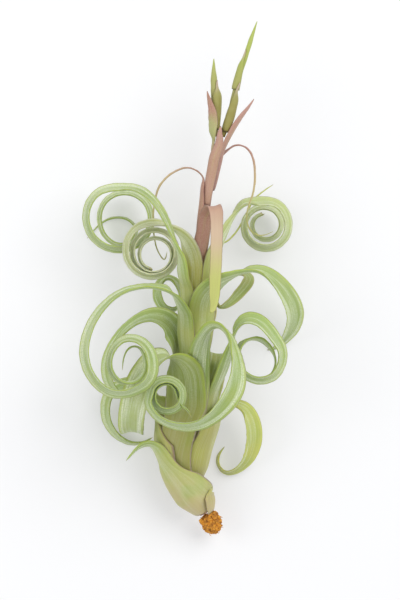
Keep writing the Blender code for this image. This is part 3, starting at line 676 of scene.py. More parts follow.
def leaf_finish(name, outer, inner, patch, sheath, scurf, inner_scurf_and_shade=0.95,
                sheath_margin=PINK_MARGIN, blade_margin=GREEN_MARGIN, tip=DRIED_TIP):
    """Leaf skin: green under silvery scales that lie in long bands, tinted base and margins, a dried tip.

    The scales lie thickest down the middle of the outer face; down the middle of the inner face they thin
    out, as painted shade in the channel's hollow.
    """
    material, maker, shader = surface(name, sheen=0.2)
    g, smooth = grain(maker), maker.smooth
    low = 1 - g.blade
    ridge = smooth(g.edge, 0.95, 0.35, 0.25, 1.0)
    # Fewer scales down the middle of the inner face: painted shade in the hollow of the channel. The last
    # argument sets how many scales the inner face has and how deep this painted shade is.
    hollow_shade = smooth(g.edge, 0.05, 0.70, 0.55, 1.0) * inner_scurf_and_shade
    silver = smooth(g.speck, 0.30, 0.60, 0.45, 1.0) * smooth(g.band, 0.40, 0.56, 0.22, 1.0)
    silver = silver * smooth(g.vein, 0.36, 0.60, 0.42, 1.0) * (0.35 + 0.65 * g.blade)
    silver = silver * (g.outer * ridge + (1 - g.outer) * hollow_shade)
    streak = 0.45 + 0.55 * g.blade
    blush = smooth(g.height, BLUSH_FROM, BLUSH_FULL) * smooth(g.cloud, 0.3, 0.62, 0.35, 1.0)
    colour = laid_over(
        maker, inner,
        (g.outer, outer),
        (smooth(g.cloud, 0.42, 0.70) * 0.6, patch),
        (low * smooth(g.cloud, 0.25, 0.6, 0.45, 0.95), sheath),
        (silver * scurf, SCURF),
        (smooth(g.rib, 0.52, 0.70) * 0.35 * streak, VEIN_PALE),
        (smooth(g.rib, 0.48, 0.30) * 0.42 * streak, VEIN_DEEP),
        (smooth(g.edge, 0.74, 0.95) * g.blade * 0.62, blade_margin),
        (smooth(g.edge, 0.93, 0.985) * 0.75 * low, sheath_margin),
        (blush * 0.7, BASE_BLUSH),
        (smooth(g.life, 0.985, 1.0) * 0.8, tip),
    )
    shader.inputs["Subsurface Weight"].default_value = 0.25
    shader.inputs["Subsurface Radius"].default_value = (0.8, 1.0, 0.2)
    shader.inputs["Subsurface Scale"].default_value = 0.003
    roughness = 0.46 + 0.22 * g.speck + 0.10 * g.outer
    height = (g.vein * 0.6 + g.rib * 0.9) * (0.35 + 0.65 * g.blade) + g.speck * 0.25
    wear(maker, shader, colour, roughness, height, 0.7, 0.0004)
    return material


def bract_finish(name, base, middle, end, turn_at=0.5, end_at=0.8):
    """Flower-stalk bracts: one tint on the sheath, another along the blade and a third towards its end."""
    material, maker, shader = surface(name, sheen=0.2)
    g, smooth = grain(maker), maker.smooth
    colour = laid_over(
        maker, base,
        (smooth(g.cloud, 0.35, 0.7) * 0.6, BRACT_TAN),
        (smooth(g.life, turn_at - 0.12, turn_at + 0.12), middle),
        (smooth(g.life, end_at - 0.14, end_at + 0.14), end),
        (smooth(g.band, 0.42, 0.62) * 0.14 * g.outer, BRACT_OLIVE),
        (smooth(g.speck, 0.35, 0.65) * 0.25 * g.outer, SCURF_PINK),
        (smooth(g.rib, 0.5, 0.3) * 0.35, BRACT_DEEP),
        (smooth(g.edge, 0.88, 0.98) * 0.6, BRACT_DEEP),
    )
    height = g.vein * 0.5 + g.rib * 0.8 + g.speck * 0.25
    wear(maker, shader, colour, 0.48 + 0.22 * g.speck, height, 0.5, 0.00025)
    return material


def spike_finish(name):
    """Flower spikes: olive at the base, bright green at the tip; each scale ends in a dusty pink rim."""
    material, maker, shader = surface(name, sheen=0.15)
    g, smooth = grain(maker), maker.smooth
    colour = laid_over(
        maker, SPIKE_OLIVE,
        (smooth(g.height, *SPIKE_BASE_ENDS), SPIKE_MIDDLE),
        (smooth(g.height, *SPIKE_TIP_STARTS), SPIKE_GREEN),
        (smooth(g.cloud, 0.40, 0.68) * 0.35, SPIKE_PALE),
        (smooth(g.rib, 0.5, 0.3) * 0.35, SPIKE_DEEP),
        (smooth(g.life, 0.62, 0.92) * g.blade * 0.85, SPIKE_PINK),
    )
    height = g.vein * 0.4 + g.rib * 0.8 + g.speck * 0.2
    wear(maker, shader, colour, 0.42 + 0.2 * g.speck, height, 0.5, 0.00025)
    return material


def root_finish(name):
    """The crumbly stump: orange-brown fibre with dark pits."""
    material, maker, shader = surface(name, 0.85)
    place = maker.value("ShaderNodeTexCoord", out=3)
    lump = noise(maker, place, LUMP_SCALE, 4.0, 0.65)
    fleck = noise(maker, place, FLECK_SCALE, 2.0)
    colour = laid_over(
        maker, ROOT_DARK,
        (maker.smooth(lump, 0.38, 0.6), ROOT_ORANGE),
        (maker.smooth(fleck, 0.5, 0.7) * 0.6, ROOT_PALE),
    )
    wear(maker, shader, colour, 0.75 + 0.2 * fleck, lump + fleck * 0.5, 0.8, 0.0006)
    return material


# One finish for each material slot, and for the pieces that have their own.
FINISHES = {
    "leaf_pale": leaf_finish(
        "leaf_pale", outer=(0.29, 0.40, 0.07), inner=(0.28, 0.39, 0.07), patch=(0.37, 0.45, 0.09),
        sheath=(0.42, 0.44, 0.10), scurf=0.95,
    ),
    "leaf_green": leaf_finish(
        "leaf_green", outer=(0.25, 0.35, 0.05), inner=(0.26, 0.38, 0.05), patch=(0.37, 0.44, 0.07),
        sheath=(0.40, 0.39, 0.09), scurf=0.85, blade_margin=(0.39, 0.49, 0.05),
    ),
    "leaf_olive": leaf_finish(
        "leaf_olive", outer=(0.30, 0.34, 0.04), inner=(0.29, 0.36, 0.05), patch=(0.42, 0.40, 0.06),
        sheath=(0.44, 0.37, 0.08), scurf=0.62, sheath_margin=(0.46, 0.24, 0.19),
        blade_margin=(0.48, 0.40, 0.14),
    ),
    "leaf_yellow_green": leaf_finish(
        "leaf_yellow_green", outer=(0.43, 0.46, 0.06), inner=(0.44, 0.49, 0.07), patch=(0.56, 0.54, 0.08),
        sheath=(0.36, 0.34, 0.08), scurf=0.62, sheath_margin=(0.45, 0.26, 0.20),
        blade_margin=(0.58, 0.60, 0.08), tip=(0.46, 0.36, 0.12),
    ),
    # The broad left leaf wears its own copy of the pale skin. Its outer face is dark green with few scales,
    # which is painted shade under the leaf's own fold. Its inner face is paler.
    "leaf_left_broad": leaf_finish(
        "leaf_broad_shaded", outer=(0.25, 0.31, 0.035), inner=(0.42, 0.50, 0.16), patch=(0.34, 0.40, 0.06),
        sheath=(0.31, 0.29, 0.07), scurf=0.30, inner_scurf_and_shade=3.1,
    ),
    "leaf_front_upper_coil": leaf_finish(
        "leaf_front_coil", outer=(0.42, 0.44, 0.14), inner=(0.40, 0.43, 0.12), patch=(0.52, 0.53, 0.24),
        sheath=(0.40, 0.37, 0.05), scurf=1.0, sheath_margin=(0.46, 0.24, 0.19),
        blade_margin=(0.74, 0.74, 0.58),
    ),
    "leaf_right_upper_coil": leaf_finish(
        "leaf_right_coil", outer=(0.40, 0.46, 0.14), inner=(0.40, 0.47, 0.14), patch=(0.48, 0.54, 0.15),
        sheath=(0.43, 0.45, 0.10), scurf=0.95, sheath_margin=(0.45, 0.26, 0.20),
        blade_margin=(0.52, 0.57, 0.28), tip=(0.46, 0.36, 0.12),
    ),
    "bract": bract_finish("bract", BRACT_PINK, BRACT_GOLD, BRACT_OLIVE, 0.43, 0.66),
    "bract_folded_forward": bract_finish("bract_front", BRACT_PINK, BRACT_CREAM, BRACT_OLIVE, 0.44, 0.70),
    "bract_centre": bract_finish("bract_middle", BRACT_TAN, BRACT_BROWN, BRACT_DUSK, 0.35, 0.80),
    "bract_left_upper": bract_finish("bract_left", BRACT_LEAF, BRACT_PINK, BRACT_PINK, 0.62, 0.85),
    "bract_right_upper": bract_finish("bract_right", BRACT_DEEP, BRACT_BROWN, BRACT_DUSK, 0.44, 0.70),
    "stem": bract_finish("stem", BRACT_DEEP, BRACT_DEEP, BRACT_DEEP),
    "spike": spike_finish("spike"),
    "root": root_finish("root"),
}
BLADE_TREE = ribbon_tree()


# ---------------------------------------------------------------- leaves and bracts, in millimetres

# Each leaf: its name and slot, how far up the stem its base is set and its blade leaves it, the angles its
# base faces and half the angles it wraps on the way up, then (x, y, z, width, facing) stations.
leaf("outer_leaf_lower_left", "leaf_pale", -153.4, -114, (-14, -20, -36, -64), (140, 96, 64, 40), [
    (-25.4, -109.9, 41, 15, -72), (-30.9, -109.9, 42.5, 11.5, -78), (-36.4, -113.4, 43, 7, -84),
    (-41.9, -119.3, 43, 1.2, -90),
], outside=0.3)
leaf("leaf_left_broad", "leaf_pale", -142.5, -92, (-60, -50, -42, -24, -16), (100, 66, 50, 35, 33), [
    (-3.9, -82.2, 58, 30, -12), (-3.6, -72.2, 62, 28.5, -14), (-4.9, -61.4, 67, 27, -26),
    (-9.4, -54.6, 70, 24, -60), (-15.9, -51.7, 71.5, 22, -105), (-22.4, -54.6, 71.5, 21, -130),
    (-27.9, -61.1, 67.5, 20, -150), (-32.2, -68.6, 65.5, 20, -163), (-35.4, -78.3, 62, 19.5, -168),
    (-37.4, -87.4, 54, 19, -170), (-38.4, -95.2, 45, 18, (0.1, 0.75, -0.66)),
    (-38, -99.8, 36, 16, (0.05, 1, -0.1)), (-36.7, -99.1, 27, 12, (0, 0.8, 0.6)),
    (-34.1, -93.3, 22, 8, (0.1, 0.2, 1)), (-32.2, -86.8, 22, 1.5, (0.1, -0.2, 1)),
])
leaf("outer_leaf_lower_right", "leaf_yellow_green", -136.5, -94, (70, 66, 66), (104, 70, 44), [
    (23.1, -84.8, 38, 16, 80), (30.2, -84.2, 37, 15.5, 105), (36.1, -88.7, 34, 15, 130),
    (40, -97.8, 29, 14, 145), (40.3, -108.9, 22, 13, 148), (36.7, -119.3, 15, 10, 140),
    (30.2, -125.8, 9, 8, 125), (23.7, -127.7, 6, 6, 115), (18.9, -123.8, 4, 5, 110),
    (18.5, -117.3, 3, 4, 110), (22.4, -111.2, 3, 1, 110),
], rests=True)
leaf("leaf_lower_left_back", "leaf_green",
     -149, -92, (-122, -120, -116, -112, -122), (94, 94, 92, 88, 50), [
    (-24.4, -80.3, 20.5, 13, -122), (-31.5, -71.8, 22, 14.5, -115), (-41.3, -70.5, 21, 14.5, -122),
    (-50.4, -75.1, 21, 14, -122), (-54.3, -84.2, 17, 13.5, -120), (-53.3, -94.6, 13, 12.5, -118),
    (-47.8, -103, 10, 11, -112), (-39.3, -107.9, 8, 9, -105), (-30.2, -107.6, 7, 6, -100),
    (-25, -105, 6.5, 1.2, -95),
], rests=True)
leaf("leaf_front_ring", "leaf_green", -123, -82, (1, 1), (48, 34), [
    (4.2, -72.5, 59.8, 17.2, 0), (5.2, -61.4, 64.5, 17, 8), (6.2, -50.4, 72, 16.5, 22),
    (8.1, -41.3, 83, 15.5, 46), (12, -34.5, 92, 15.5, 66), (17.9, -32.2, 98, 16, 82),
    (23.1, -36.7, 100, 16.5, 94), (26.3, -45.2, 100, 17, 106), (28.3, -54.9, 99, 17.5, 118),
    (28.3, -65.3, 97, 17.8, 134), (26, -73.8, 95, 17.5, 140), (20.5, -82.2, 93, 17, 134),
    (13.3, -89, 90.5, 16.5, 124), (4.9, -93.6, 88, 16, 116), (-4.2, -94.9, 85.5, 15, 112),
    (-14, -93, 83, 14, 109), (-22.1, -87.8, 81, 12.5, 110), (-26, -80.9, 79.5, 11.5, 114),
] + spiral((-15.3, -76.7), (-15, -76.4), 10.4, 7.8, 184, -290, 79, 78, 11, 9, 118, 116) + [
    (-6.2, -82.2, 75.5, 6, 104), (-2.3, -85.5, 74, 4, 95), (0.7, -90.7, 73.5, 1, 90),
])
leaf("leaf_right_coil", "leaf_green", -114, -84, (55, 60), (46, 38), [
    (16.2, -75.7, 48, 15.5, 66), (20.5, -65.3, 57, 15.5, 66), (24.4, -54.3, 64, 16.5, 66),
    (27.3, -43.2, 69.5, 16, 78), (30.2, -33.5, 75, 15.5, 100), (36.7, -27.9, 79, 15.5, 118),
    (44.5, -29.9, 80.5, 15, 124), (51.7, -37.4, 80.5, 14.5, 122), (57.2, -45.8, 79, 14, 118),
] + spiral((43.6, -51.7), (45.2, -50.4), 14.6, 14, 4, -180, 77, 70, 13.5, 11, 116, 112) + [
    (33.1, -44.5, 69, 11, 104), (38, -40.6, 67.5, 10.5, 90), (44.9, -41, 66, 10, 76),
    (51, -45.8, 64.5, 8.5, 78), (54.9, -53, 63.5, 5, 90), (53.3, -60.8, 62.5, 3, 100),
    (47.8, -66, 62, 1, 104),
])
leaf("leaf_right_folded_back", "leaf_olive", -104, -80, (130, 124, 124), (70, 46, 34), [
    (14, -69.9, 35.5, 14.5, 140), (16.6, -61.4, 37.5, 15.5, 158), (18.2, -54.6, 38.5, 15, (0, -0.15, -1)),
    (18.9, -50.4, 35, 15, (0, -1, -0.25)), (18.5, -53, 27, 15, (0, -0.8, 0.6)),
    (17.2, -60.8, 20, 14, (0, -0.3, 1)), (15.9, -70.5, 15, 12, (0, -0.2, 1)),
    (14.6, -79.6, 12.5, 9, (0, -0.1, 1)), (12.7, -88.7, 10, 5, (0, 0, 1)),
    (10.7, -95.9, 9, 1.2, (0, 0, 1)),
])
# Middle leaves: the loops on the left and the big hook on the right.
leaf("leaf_left_second_ring", "leaf_green", -90, -54, (-106, -108), (50, 38), [
    (-9.1, -43.9, 38, 20, -128), (-11.7, -34.8, 39.5, 21, -146), (-17.6, -28.3, 42.5, 19, -138),
    (-25.4, -26.3, 44.5, 16.5, -127), (-34.1, -28.9, 45.5, 15, -116), (-42.2, -34.8, 45, 14, -112),
    (-48.1, -42.6, 43, 13.5, -116), (-52.3, -51.7, 41, 13, -122), (-53.6, -61.1, 39.5, 12.5, -124),
    (-51, -69.9, 39, 12, -120), (-45.2, -75.1, 38.5, 11, -112), (-36.7, -73.8, 38, 9, -104),
    (-29.6, -68.6, 37.5, 5, -100), (-27, -62.7, 37, 1.2, -95),
])
leaf("leaf_left_small_loop", "leaf_green", -80, -44, (-174, -174, -176), (60, 34, 20), [
    (-2, -28.9, 23.5, 12, -154), (-4.9, -16.6, 23.5, 13, -126), (-8.8, -5.5, 23.5, 13, -110),
    (-15, -1, 24, 12.5, -102), (-19.5, -4.9, 23.5, 12.5, -112), (-20.2, -12.7, 22.5, 12, -122),
    (-15.9, -19.2, 21.5, 10.5, -118), (-10.1, -19.8, 21, 7, -110), (-6.8, -16.6, 20.5, 1.2, -105),
])
leaf("leaf_left_large_loop", "leaf_pale", -68, -34, (-46, -50), (48, 42), [
    (-5.2, -25.7, 56, 18, -54), (-7.5, -17.9, 64.5, 17, -68), (-11.1, -11.7, 74, 16, -88),
    (-16.6, -8.5, 81.5, 15, -100), (-25, -6.8, 86, 14, -98), (-34.8, -7.5, 88.5, 13.5, -100),
    (-44.9, -11.1, 89, 13.5, -104), (-53.3, -17.6, 89, 13, -110), (-60.5, -26.7, 88.5, 13, -115),
    (-65.3, -37.4, 88, 13, -118), (-67, -48.4, 87.5, 13, -120), (-64.7, -59.1, 87.5, 13, -119),
    (-59.1, -67.6, 87.5, 13, -117), (-51.7, -72.8, 87.5, 13, -116), (-43.2, -73.8, 87.5, 13, -115),
    (-34.8, -71.2, 87.5, 13, -118), (-27.9, -66, 87.5, 13, -123), (-25.4, -56.2, 87, 13, -126),
    (-27.9, -46.8, 86, 12.5, -122), (-34.8, -41, 84.5, 12, -115), (-42.6, -41, 83, 11.5, -112),
    (-48.8, -46.5, 82, 11, -112), (-51.4, -54.3, 81, 10.5, -112), (-49.4, -62.4, 80, 10, -110),
    (-42.9, -67.3, 79, 9.5, -100), (-35.4, -66.3, 78.5, 9, -82), (-30.6, -60.1, 78, 8, -70),
    (-30.2, -52, 77.5, 6, -72), (-33.8, -45.2, 76.5, 4.5, -84), (-39, -45.5, 75.5, 3.5, -94),
    (-42.9, -51.7, 74.5, 2.5, -96), (-43.9, -60.1, 74, 0.9, -95),
])
leaf("leaf_right_big_hook", "leaf_pale", -58, -22, (12, 14), (54, 46), [
    (10.1, -13.3, 60, 19, 26), (15.9, -6.2, 63, 17.5, 46), (24.4, -1, 66, 16, 66),
    (33.5, 2.6, 68, 14.5, 86), (41.9, 3.9, 66.5, 14, 106), (50.1, 0.7, 62, 14.5, 124),
    (57.5, -5.9, 54, 15, 138), (64, -15, 43.5, 15.5, 148), (67.3, -25, 32, 15, 148),
    (65, -34.8, 22, 12, 140), (59.8, -42.2, 15, 8, 126), (54.9, -46.1, 11, 4.5, 116),
    (50.4, -47.5, 9, 1.2, 108),
], rests=True)
leaf("leaf_right_channelled", "leaf_olive", -50, -20, (120, 114, 112), (80, 56, 38), [
    (14.6, -10.1, 37, 12, 108), (19.8, -4.2, 34.5, 11, 100), (27, 0, 33, 10, 96), (33.8, 2, 33, 9.5, 104),
    (37.1, 0, 34.5, 9.5, 130), (34.8, -5.5, 38, 9.5, 148), (29.2, -12, 41.5, 8.5, 146),
    (23.1, -17.2, 44, 7, 130), (18.9, -18.5, 45, 5, 108), (18.2, -15.9, 45.5, 1, 98),
])
# Upper leaves, whose blades roll up into watch-spring coils.
leaf("leaf_left_upper_coil", "leaf_pale", -42, -6, (-52, -56), (50, 42), [
    (-6.5, 2.3, 58, 15, -60), (-6.8, 11.4, 62.5, 14, -70), (-9.8, 20.5, 66, 13.2, -88),
    (-13.7, 29.6, 68, 12.5, -102), (-18.2, 39.3, 68.5, 12.5, -110), (-25.4, 49.7, 66, 12.5, -113),
    (-34.5, 56.2, 60, 12.5, -114),
] + spiral((-48.8, 37.1), (-42.9, 38.7), 21.1, 16.2, 75, 440, 53, 26, 12.5, 10, -114, -110) + [
    (-51, 53, 23.5, 9.4, -110), (-57.2, 46.8, 21.5, 8.8, -110), (-59.1, 38.7, 19.5, 8.2, -110),
    (-56.9, 29.9, 17.5, 7.6, -110), (-51, 23.7, 15.5, 7, -110), (-43.6, 22.4, 13.5, 6.4, -110),
    (-37.4, 26.3, 12, 5.8, -110), (-36.4, 32.5, 11, 5, -108), (-40.6, 37.7, 10.5, 4.4, -106),
    (-47.5, 39.6, 10, 4, -104), (-54.3, 38.4, 9.5, 3.5, -102), (-60.8, 34.1, 9, 2.6, -102),
    (-67.9, 26, 9, 0.8, -100),
], rests=True)
leaf("leaf_right_upper_coil", "leaf_yellow_green", -33, 1, (46, 50), (52, 35), [
    (15.6, 12.7, 52, 14.5, 50), (19.8, 22.4, 50, 14, 58), (24.7, 32.2, 47.5, 13.5, 72),
    (29.6, 41, 45, 13, 92), (36.1, 47.5, 42, 13, 108),
] + spiral((48.1, 33.5), (49.1, 35.1), 15.9, 6.8, 112, -620, 39, 11, 13, 6, 118, 108), rests=True)
leaf("leaf_front_upper_coil", "leaf_olive", -24, 7, (-16, -22), (54, 44), [
    (0, 14.6, 54.5, 14.5, -26), (-3.6, 23.1, 54, 13.5, -44), (-8.8, 29.2, 51.5, 13, -72),
    (-16.2, 33.8, 49, 12, -100),
] + spiral((-25, 17.9), (-23.1, 14), 17.2, 8.8, 76, 980, 49.5, 46.5, 11.5, 6, -114, -104))
leaf("leaf_thin_back_right", "leaf_yellow_green", -12, 14, (84, 84), (44, 34), [
    (15.3, 19.8, 37, 6, 86), (21.1, 22.4, 27, 4.6, 92), (26.3, 25.7, 18, 3.8, 98),
    (31.5, 32.2, 13, 3.2, 100), (36.7, 41.9, 11.5, 2.8, 100), (41.6, 51, 11, 2.4, 104),
    (47.1, 56.2, 11, 2, 108), (54.3, 61.1, 11.5, 0.8, 108),
], thickness=0.9)
# Bracts of the flower stalk: long thin ones below, short pointed ones under the spikes.
leaf("bract_folded_forward", "bract", 6, 40, (0, 4), (60, 48), [
    (12.3, 42.9, 59, 10, (0.1, -0.75, 0.66)), (14.3, 45.8, 65, 10, (0.05, -1, 0.05)),
    (16.2, 43.6, 69.5, 9.6, (0, -0.6, -0.8)), (16.9, 36.1, 71, 8.8, (-0.1, -0.05, -1)),
    (16.8, 24.4, 71, 8.4, (-0.12, 0, -1)), (16.4, 10.1, 71, 8.2, (-0.15, 0, -1)),
    (15.8, -1.6, 71, 8.2, (-0.2, 0, -1)), (15.3, -10.7, 71.3, 7.8, (-0.35, -0.05, -0.93)),
    (14.8, -16.6, 72, 6.6, (-0.5, -0.2, -0.84)), (14, -20.8, 73, 4.2, (-0.5, -0.5, -0.7)),
    (12.7, -22.8, 74, 1.2, (-0.5, -0.6, -0.6)),
], thickness=0.9)
leaf("bract_left_long", "bract", 24, 60, (-66, -88), (78, 46), [
    (8, 64.7, 50.6, 4, -88), (4.5, 68.9, 50.4, 3.6, -94), (-1.6, 71.2, 50.5, 3.4, -100),
    (-8.5, 69.5, 50, 3.4, -105), (-15.3, 65, 49.5, 3.3, -108), (-20.2, 58.8, 48, 3.2, -110),
    (-22.8, 51, 45.5, 3.1, -108), (-24.1, 41.9, 41, 3, -104), (-24.1, 32.2, 37, 2.9, -98),
    (-23.1, 23.7, 35, 2.7, -92), (-20.5, 15.9, 33.5, 2.4, -88), (-17.2, 12, 33, 2, -85),
    (-15.3, 17.2, 32.5, 0.8, -80),
], thickness=0.8)
leaf("bract_right_long", "bract", 64, 78, (136, 132), (32, 24), [
    (24.1, 82.5, 50.6, 3.6, 112), (28.9, 85.5, 53, 3.6, 100), (34.1, 85.2, 54.5, 3.6, 100),
    (39, 80.6, 55, 3.5, 106), (41.3, 72.5, 55.5, 3.4, 108), (41.6, 63.4, 55.5, 3.3, 108),
    (40.3, 54.3, 55.5, 3.1, 106), (37.7, 46.5, 55, 2.8, 100), (36.4, 39.3, 54, 2.4, 84),
    (38, 32.2, 52.5, 2.1, 70), (43.2, 27.6, 51, 1.8, 66), (49.1, 27.9, 50, 1.4, 80),
    (53.6, 29.9, 49.5, 0.7, 90),
], thickness=0.8)
leaf("bract_centre", "bract", 46, 80, (-20, -4), (50, 42), [
    (18.5, 85.5, 59.3, 6.4, 2), (19, 91.3, 60.3, 4.8, 4), (19.6, 98.2, 60.8, 0.9, 6),
], thickness=0.8)
leaf("bract_right_upper", "bract", 56, 83, (72, 68), (32, 34), [
    (24.9, 89.7, 56, 8, 68), (29.2, 97.8, 56.5, 7, 60), (33.1, 104, 57.5, 5.2, 54),
    (37.4, 109.9, 58, 3, 50), (41.3, 115.7, 58.5, 0.8, 50),
], thickness=0.8)
leaf("bract_left_upper", "bract", 78, 88, (-84, -76), (42, 40), [
    (13.8, 92.6, 58.5, 6.2, -52), (14, 99.8, 59.8, 8, -36), (13.5, 107.6, 60, 7, -36),
    (12, 114.7, 59.5, 4, -42), (10.7, 120.9, 59.5, 0.8, -48),
], thickness=0.8)
# A dried scrap of an old leaf on the bulb.
leaf("old_leaf_base", "leaf_yellow_green", -155.0, -144, (40, 40), (30, 20), [
    (13, -140.1, 34, 3.2, 38), (14, -137.2, 35, 0.8, 38),
], thickness=0.7, outside=1.5)
# Scales that wrap the flower spikes.
leaf("scale_long_spike_lower", "spike", 94, 116, (24, 40), (116, 64), [
    (30, 119.9, 61.2, 2.4, 44), (32.4, 126.4, 61.7, 0.7, 40),
], thickness=0.6, axis=LONG_SPIKE)
leaf("scale_long_spike_upper", "spike", 121, 137, (-20, -42), (112, 60), [
    (33.7, 141.4, 61.2, 2.2, -44), (35.9, 147.9, 61.5, 0.7, -40),
], thickness=0.6, axis=LONG_SPIKE)
leaf("scale_short_spike", "spike", 95, 118, (24, 40), (116, 66), [
    (17.6, 122.9, 58.2, 2.6, 42), (17.4, 128.1, 58, 0.7, 40),
], thickness=0.6, axis=SHORT_SPIKE)


# ---------------------------------------------------------------- stem, spikes and roots


def stalk_mesh(name, line, radii, rows, around):
    """A round tapering stalk along a smooth line, closed at both ends, that carries the leaf measures."""
    line = np.array(line)
    knots = np.concatenate([[0.0], np.cumsum(np.linalg.norm(np.diff(line, axis=0), axis=1))])
    at = np.linspace(0.0, knots[-1], rows)
    middle = natural_spline(knots, line, at)
    sizes = np.interp(at, np.linspace(0.0, knots[-1], len(radii)), radii)
    ahead = unit(np.gradient(middle, axis=0))
    up = unit(np.array((0.0, 0.0, 1.0)) - ahead[:, 2:] * ahead)
    right = np.cross(ahead, up)
    shape = bmesh.new()
    layers = [shape.verts.layers.float.new(key) for key in CARRIED]
    rings = []
    for i in range(rows):
        ring = []
        for k in range(around):
            turn = 2.0 * math.pi * k / around
            swell = sizes[i] * (1.0 + 0.03 * math.sin(5.0 * turn + 0.4 * i))
            place = middle[i] + swell * (math.cos(turn) * up[i] + math.sin(turn) * right[i])
            vertex = shape.verts.new((place + PLAN_SHIFT) * MM)
            measures = (math.sin(turn) * 0.8, 1.0, at[i] * MM, at[i] / knots[-1], 0.0)
            for layer, value in zip(layers, measures):
                vertex[layer] = value
            ring.append(vertex)
        rings.append(ring)
    for a, b in zip(rings, rings[1:]):
        for k in range(around):
            n = (k + 1) % around
            shape.faces.new((a[k], a[n], b[n], b[k]))
    shape.faces.new(rings[0][::-1])
    shape.faces.new(rings[-1])
    bmesh.ops.recalc_face_normals(shape, faces=shape.faces)
    for face in shape.faces:
        face.smooth = True
    mesh = bpy.data.meshes.new(name)
    shape.to_mesh(mesh)
    shape.free()
    return mesh


def stalk(name, slot, line, radii, rows, around):
    """The stem or the core of a flower spike."""
    mesh = stalk_mesh(name, line, radii, rows, around)
    mesh.materials.append(FINISHES.get(name, FINISHES[slot]))
    return add_piece(name, mesh)


# How deep a root fibre is set in the stump and its radius, in metres, and the lumps of a crumb per metre.
FIBRE_ROOT = 0.0004
FIBRE_RADIUS = 0.00016
CRUMB_LUMPS = 1400.0


def crumb_tree():
    """Crumbs and short root fibres scattered over the stump."""
    maker, (stump, crumbs, fibres, size, length, seed, finish) = open_tree("root_crumbs", "Stump", (
        ("Crumbs per square metre", "Float", 3.0e5),
        ("Fibres per square metre", "Float", 6.0e4),
        ("Crumb size", "Float", 0.0008),
        ("Fibre length", "Float", 0.004),
        ("Seed", "Int", 5),
    ))

    def scattered(density, shift, thing, low, high, tilt):
        spots = maker.node(
            "GeometryNodeDistributePointsOnFaces", {"distribute_method": "RANDOM"},
            Mesh=stump, Density=density, Seed=seed + shift,
        )
        sizes = maker.node(
            "FunctionNodeRandomValue", {"data_type": "FLOAT"}, _2=low, _3=high, Seed=seed + shift + 1
        )
        turns = maker.node(
            "FunctionNodeRandomValue", {"data_type": "FLOAT_VECTOR"},
            _0=(-tilt, -tilt, -3.1), _1=(tilt, tilt, 3.1), Seed=seed + shift + 2,
        )
        spin = maker.value(
            "FunctionNodeRotateEuler", {"rotation_type": "EULER", "space": "LOCAL"},
            Rotation=Value(maker, spots.outputs[2]), Rotate_By=Value(maker, turns.outputs[0]),
        )
        return maker.value(
            "GeometryNodeInstanceOnPoints",
            Points=Value(maker, spots.outputs[0]), Instance=thing, Rotation=spin,
            Scale=maker.scaled((1.0, 1.0, 1.0), Value(maker, sizes.outputs[1])),
        )

    crumb = maker.value("GeometryNodeMeshIcoSphere", Radius=size, Subdivisions=2)
    wobble = maker.value("ShaderNodeTexNoise", out=1, Scale=CRUMB_LUMPS, Detail=2.0)
    wobble = maker.scaled(maker.vector("SUBTRACT", wobble, (0.5, 0.5, 0.5)), size * 2.2)
    crumb = maker.value("GeometryNodeSetPosition", Geometry=crumb, Offset=wobble)
    tip = maker.value("ShaderNodeCombineXYZ", X=length * 0.35, Y=length * 0.1, Z=length)
    bend = maker.value("ShaderNodeCombineXYZ", X=0.0, Y=0.0, Z=length * 0.6)
    fibre = maker.value(
        "GeometryNodeCurveQuadraticBezier", Resolution=6, Start=(0.0, 0.0, -FIBRE_ROOT), Middle=bend, End=tip
    )
    ring = maker.value("GeometryNodeCurvePrimitiveCircle", Resolution=5, Radius=FIBRE_RADIUS)
    fibre = maker.value("GeometryNodeCurveToMesh", Curve=fibre, Profile_Curve=ring, Fill_Caps=True)
    parts = maker.node("GeometryNodeJoinGeometry")
    for piece in (
        stump,
        scattered(crumbs, 0, crumb, 0.45, 1.5, 1.0),
        scattered(fibres, 10, fibre, 0.4, 1.0, 0.8),
    ):
        maker.feed(parts.inputs[0], piece)
    return close_tree(maker, Value(maker, parts.outputs[0]), finish)


def root_stump():
    """The stump is lumped with folded waves, then crumbs and fibres are scattered over it."""
    mesh = stalk_mesh("root_stump", ROOT_LINE, ROOT_RADII, rows=44, around=40)
    for vertex in mesh.vertices:
        x, y, z = (value / MM for value in vertex.co)
        wave = math.sin(1.9 * x + 0.7 * y) + math.sin(1.3 * y - 2.1 * z + 1.0)
        wave += math.sin(1.7 * z + 1.1 * x + 2.0)
        fine = math.sin(5.3 * x - 3.1 * z) * math.sin(4.7 * y + 2.2 * x) + math.sin(6.9 * z + 3.7 * y)
        vertex.co = vertex.co + vertex.normal * MM * (0.42 * wave + 0.22 * fine - 0.5)
    inputs = {
        "Crumbs per square metre": 5.0e5,
        "Fibres per square metre": 7.0e4,
        "Crumb size": 0.0009,
        "Fibre length": 0.0035,
        "Seed": 5,
        "Finish": FINISHES["root"],
    }
    return add_piece("root_stump", run_tree("root_stump", mesh, crumb_tree(), inputs))


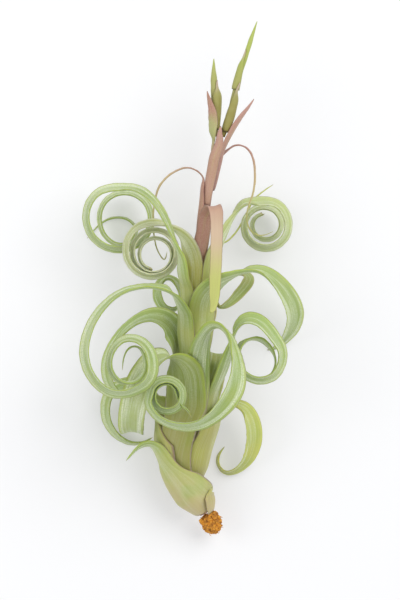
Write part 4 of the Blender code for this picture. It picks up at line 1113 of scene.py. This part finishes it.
stalk("stem", "bract", STEM_LINE, STEM_RADII, rows=160, around=24)
stalk("flower_spike_long", "spike", LONG_SPIKE_LINE, LONG_SPIKE_RADII, rows=120, around=24)
stalk("flower_spike_short", "spike", SHORT_SPIKE_LINE, SHORT_SPIKE_RADII, rows=120, around=24)
root_stump()


# ---------------------------------------------------------------- floor, light and camera


def area_light(name, place, aim, size, power):
    """A round soft light at a place, turned to its aim."""
    lamp = bpy.data.lights.new(name, "AREA")
    lamp.shape = "DISK"
    lamp.size = size
    lamp.energy = power
    made = placed(name, lamp)
    made.location = place
    way = Vector(aim) - Vector(place)
    made.rotation_euler = way.to_track_quat("-Z", "Y").to_euler()


floor_mesh = bpy.data.meshes.new("floor")
corners = [(x * FLOOR_REACH, y * FLOOR_REACH, 0.0) for x, y in ((-1, -1), (1, -1), (1, 1), (-1, 1))]
floor_mesh.from_pydata(corners, [], [(0, 1, 2, 3)])
floor = placed("floor", floor_mesh)
floor_paper, _, floor_shader = surface("floor_paper", 0.9)
floor_shader.inputs["Base Color"].default_value = FLOOR_GREY
floor_shader.inputs["Emission Color"].default_value = FLOOR_GLOW_TINT
floor_shader.inputs["Emission Strength"].default_value = FLOOR_GLOW
floor_shader.inputs["Specular IOR Level"].default_value = 0.1
floor_mesh.materials.append(floor_paper)

world = bpy.data.worlds.new("studio")
world.use_nodes = True
sky = world.node_tree.nodes["Background"]
sky.inputs["Color"].default_value = SKY_TINT
sky.inputs["Strength"].default_value = WORLD_LIGHT
bpy.context.scene.world = world
area_light("softbox_upper_right", (1.5, 1.2, 2.6), aim=(0.0, 0.0, 0.0), size=2.4, power=KEY_POWER)
area_light("softbox_left", (-1.3, 0.1, 1.3), aim=(0.0, 0.0, 0.05), size=1.2, power=FILL_POWER)

camera_data = bpy.data.cameras.new("camera")
camera_data.sensor_width = SENSOR_WIDTH
camera_data.lens = SENSOR_WIDTH * (CAMERA_HEIGHT - VIEW_PLANE) / VIEW_LENGTH
camera_data.clip_start = 0.1
camera_data.clip_end = 20.0
camera = placed("camera", camera_data)
camera.location = (VIEW_MIDDLE[0], VIEW_MIDDLE[1], CAMERA_HEIGHT)
bpy.context.scene.camera = camera
bpy.context.scene.view_settings.view_transform = "Standard"
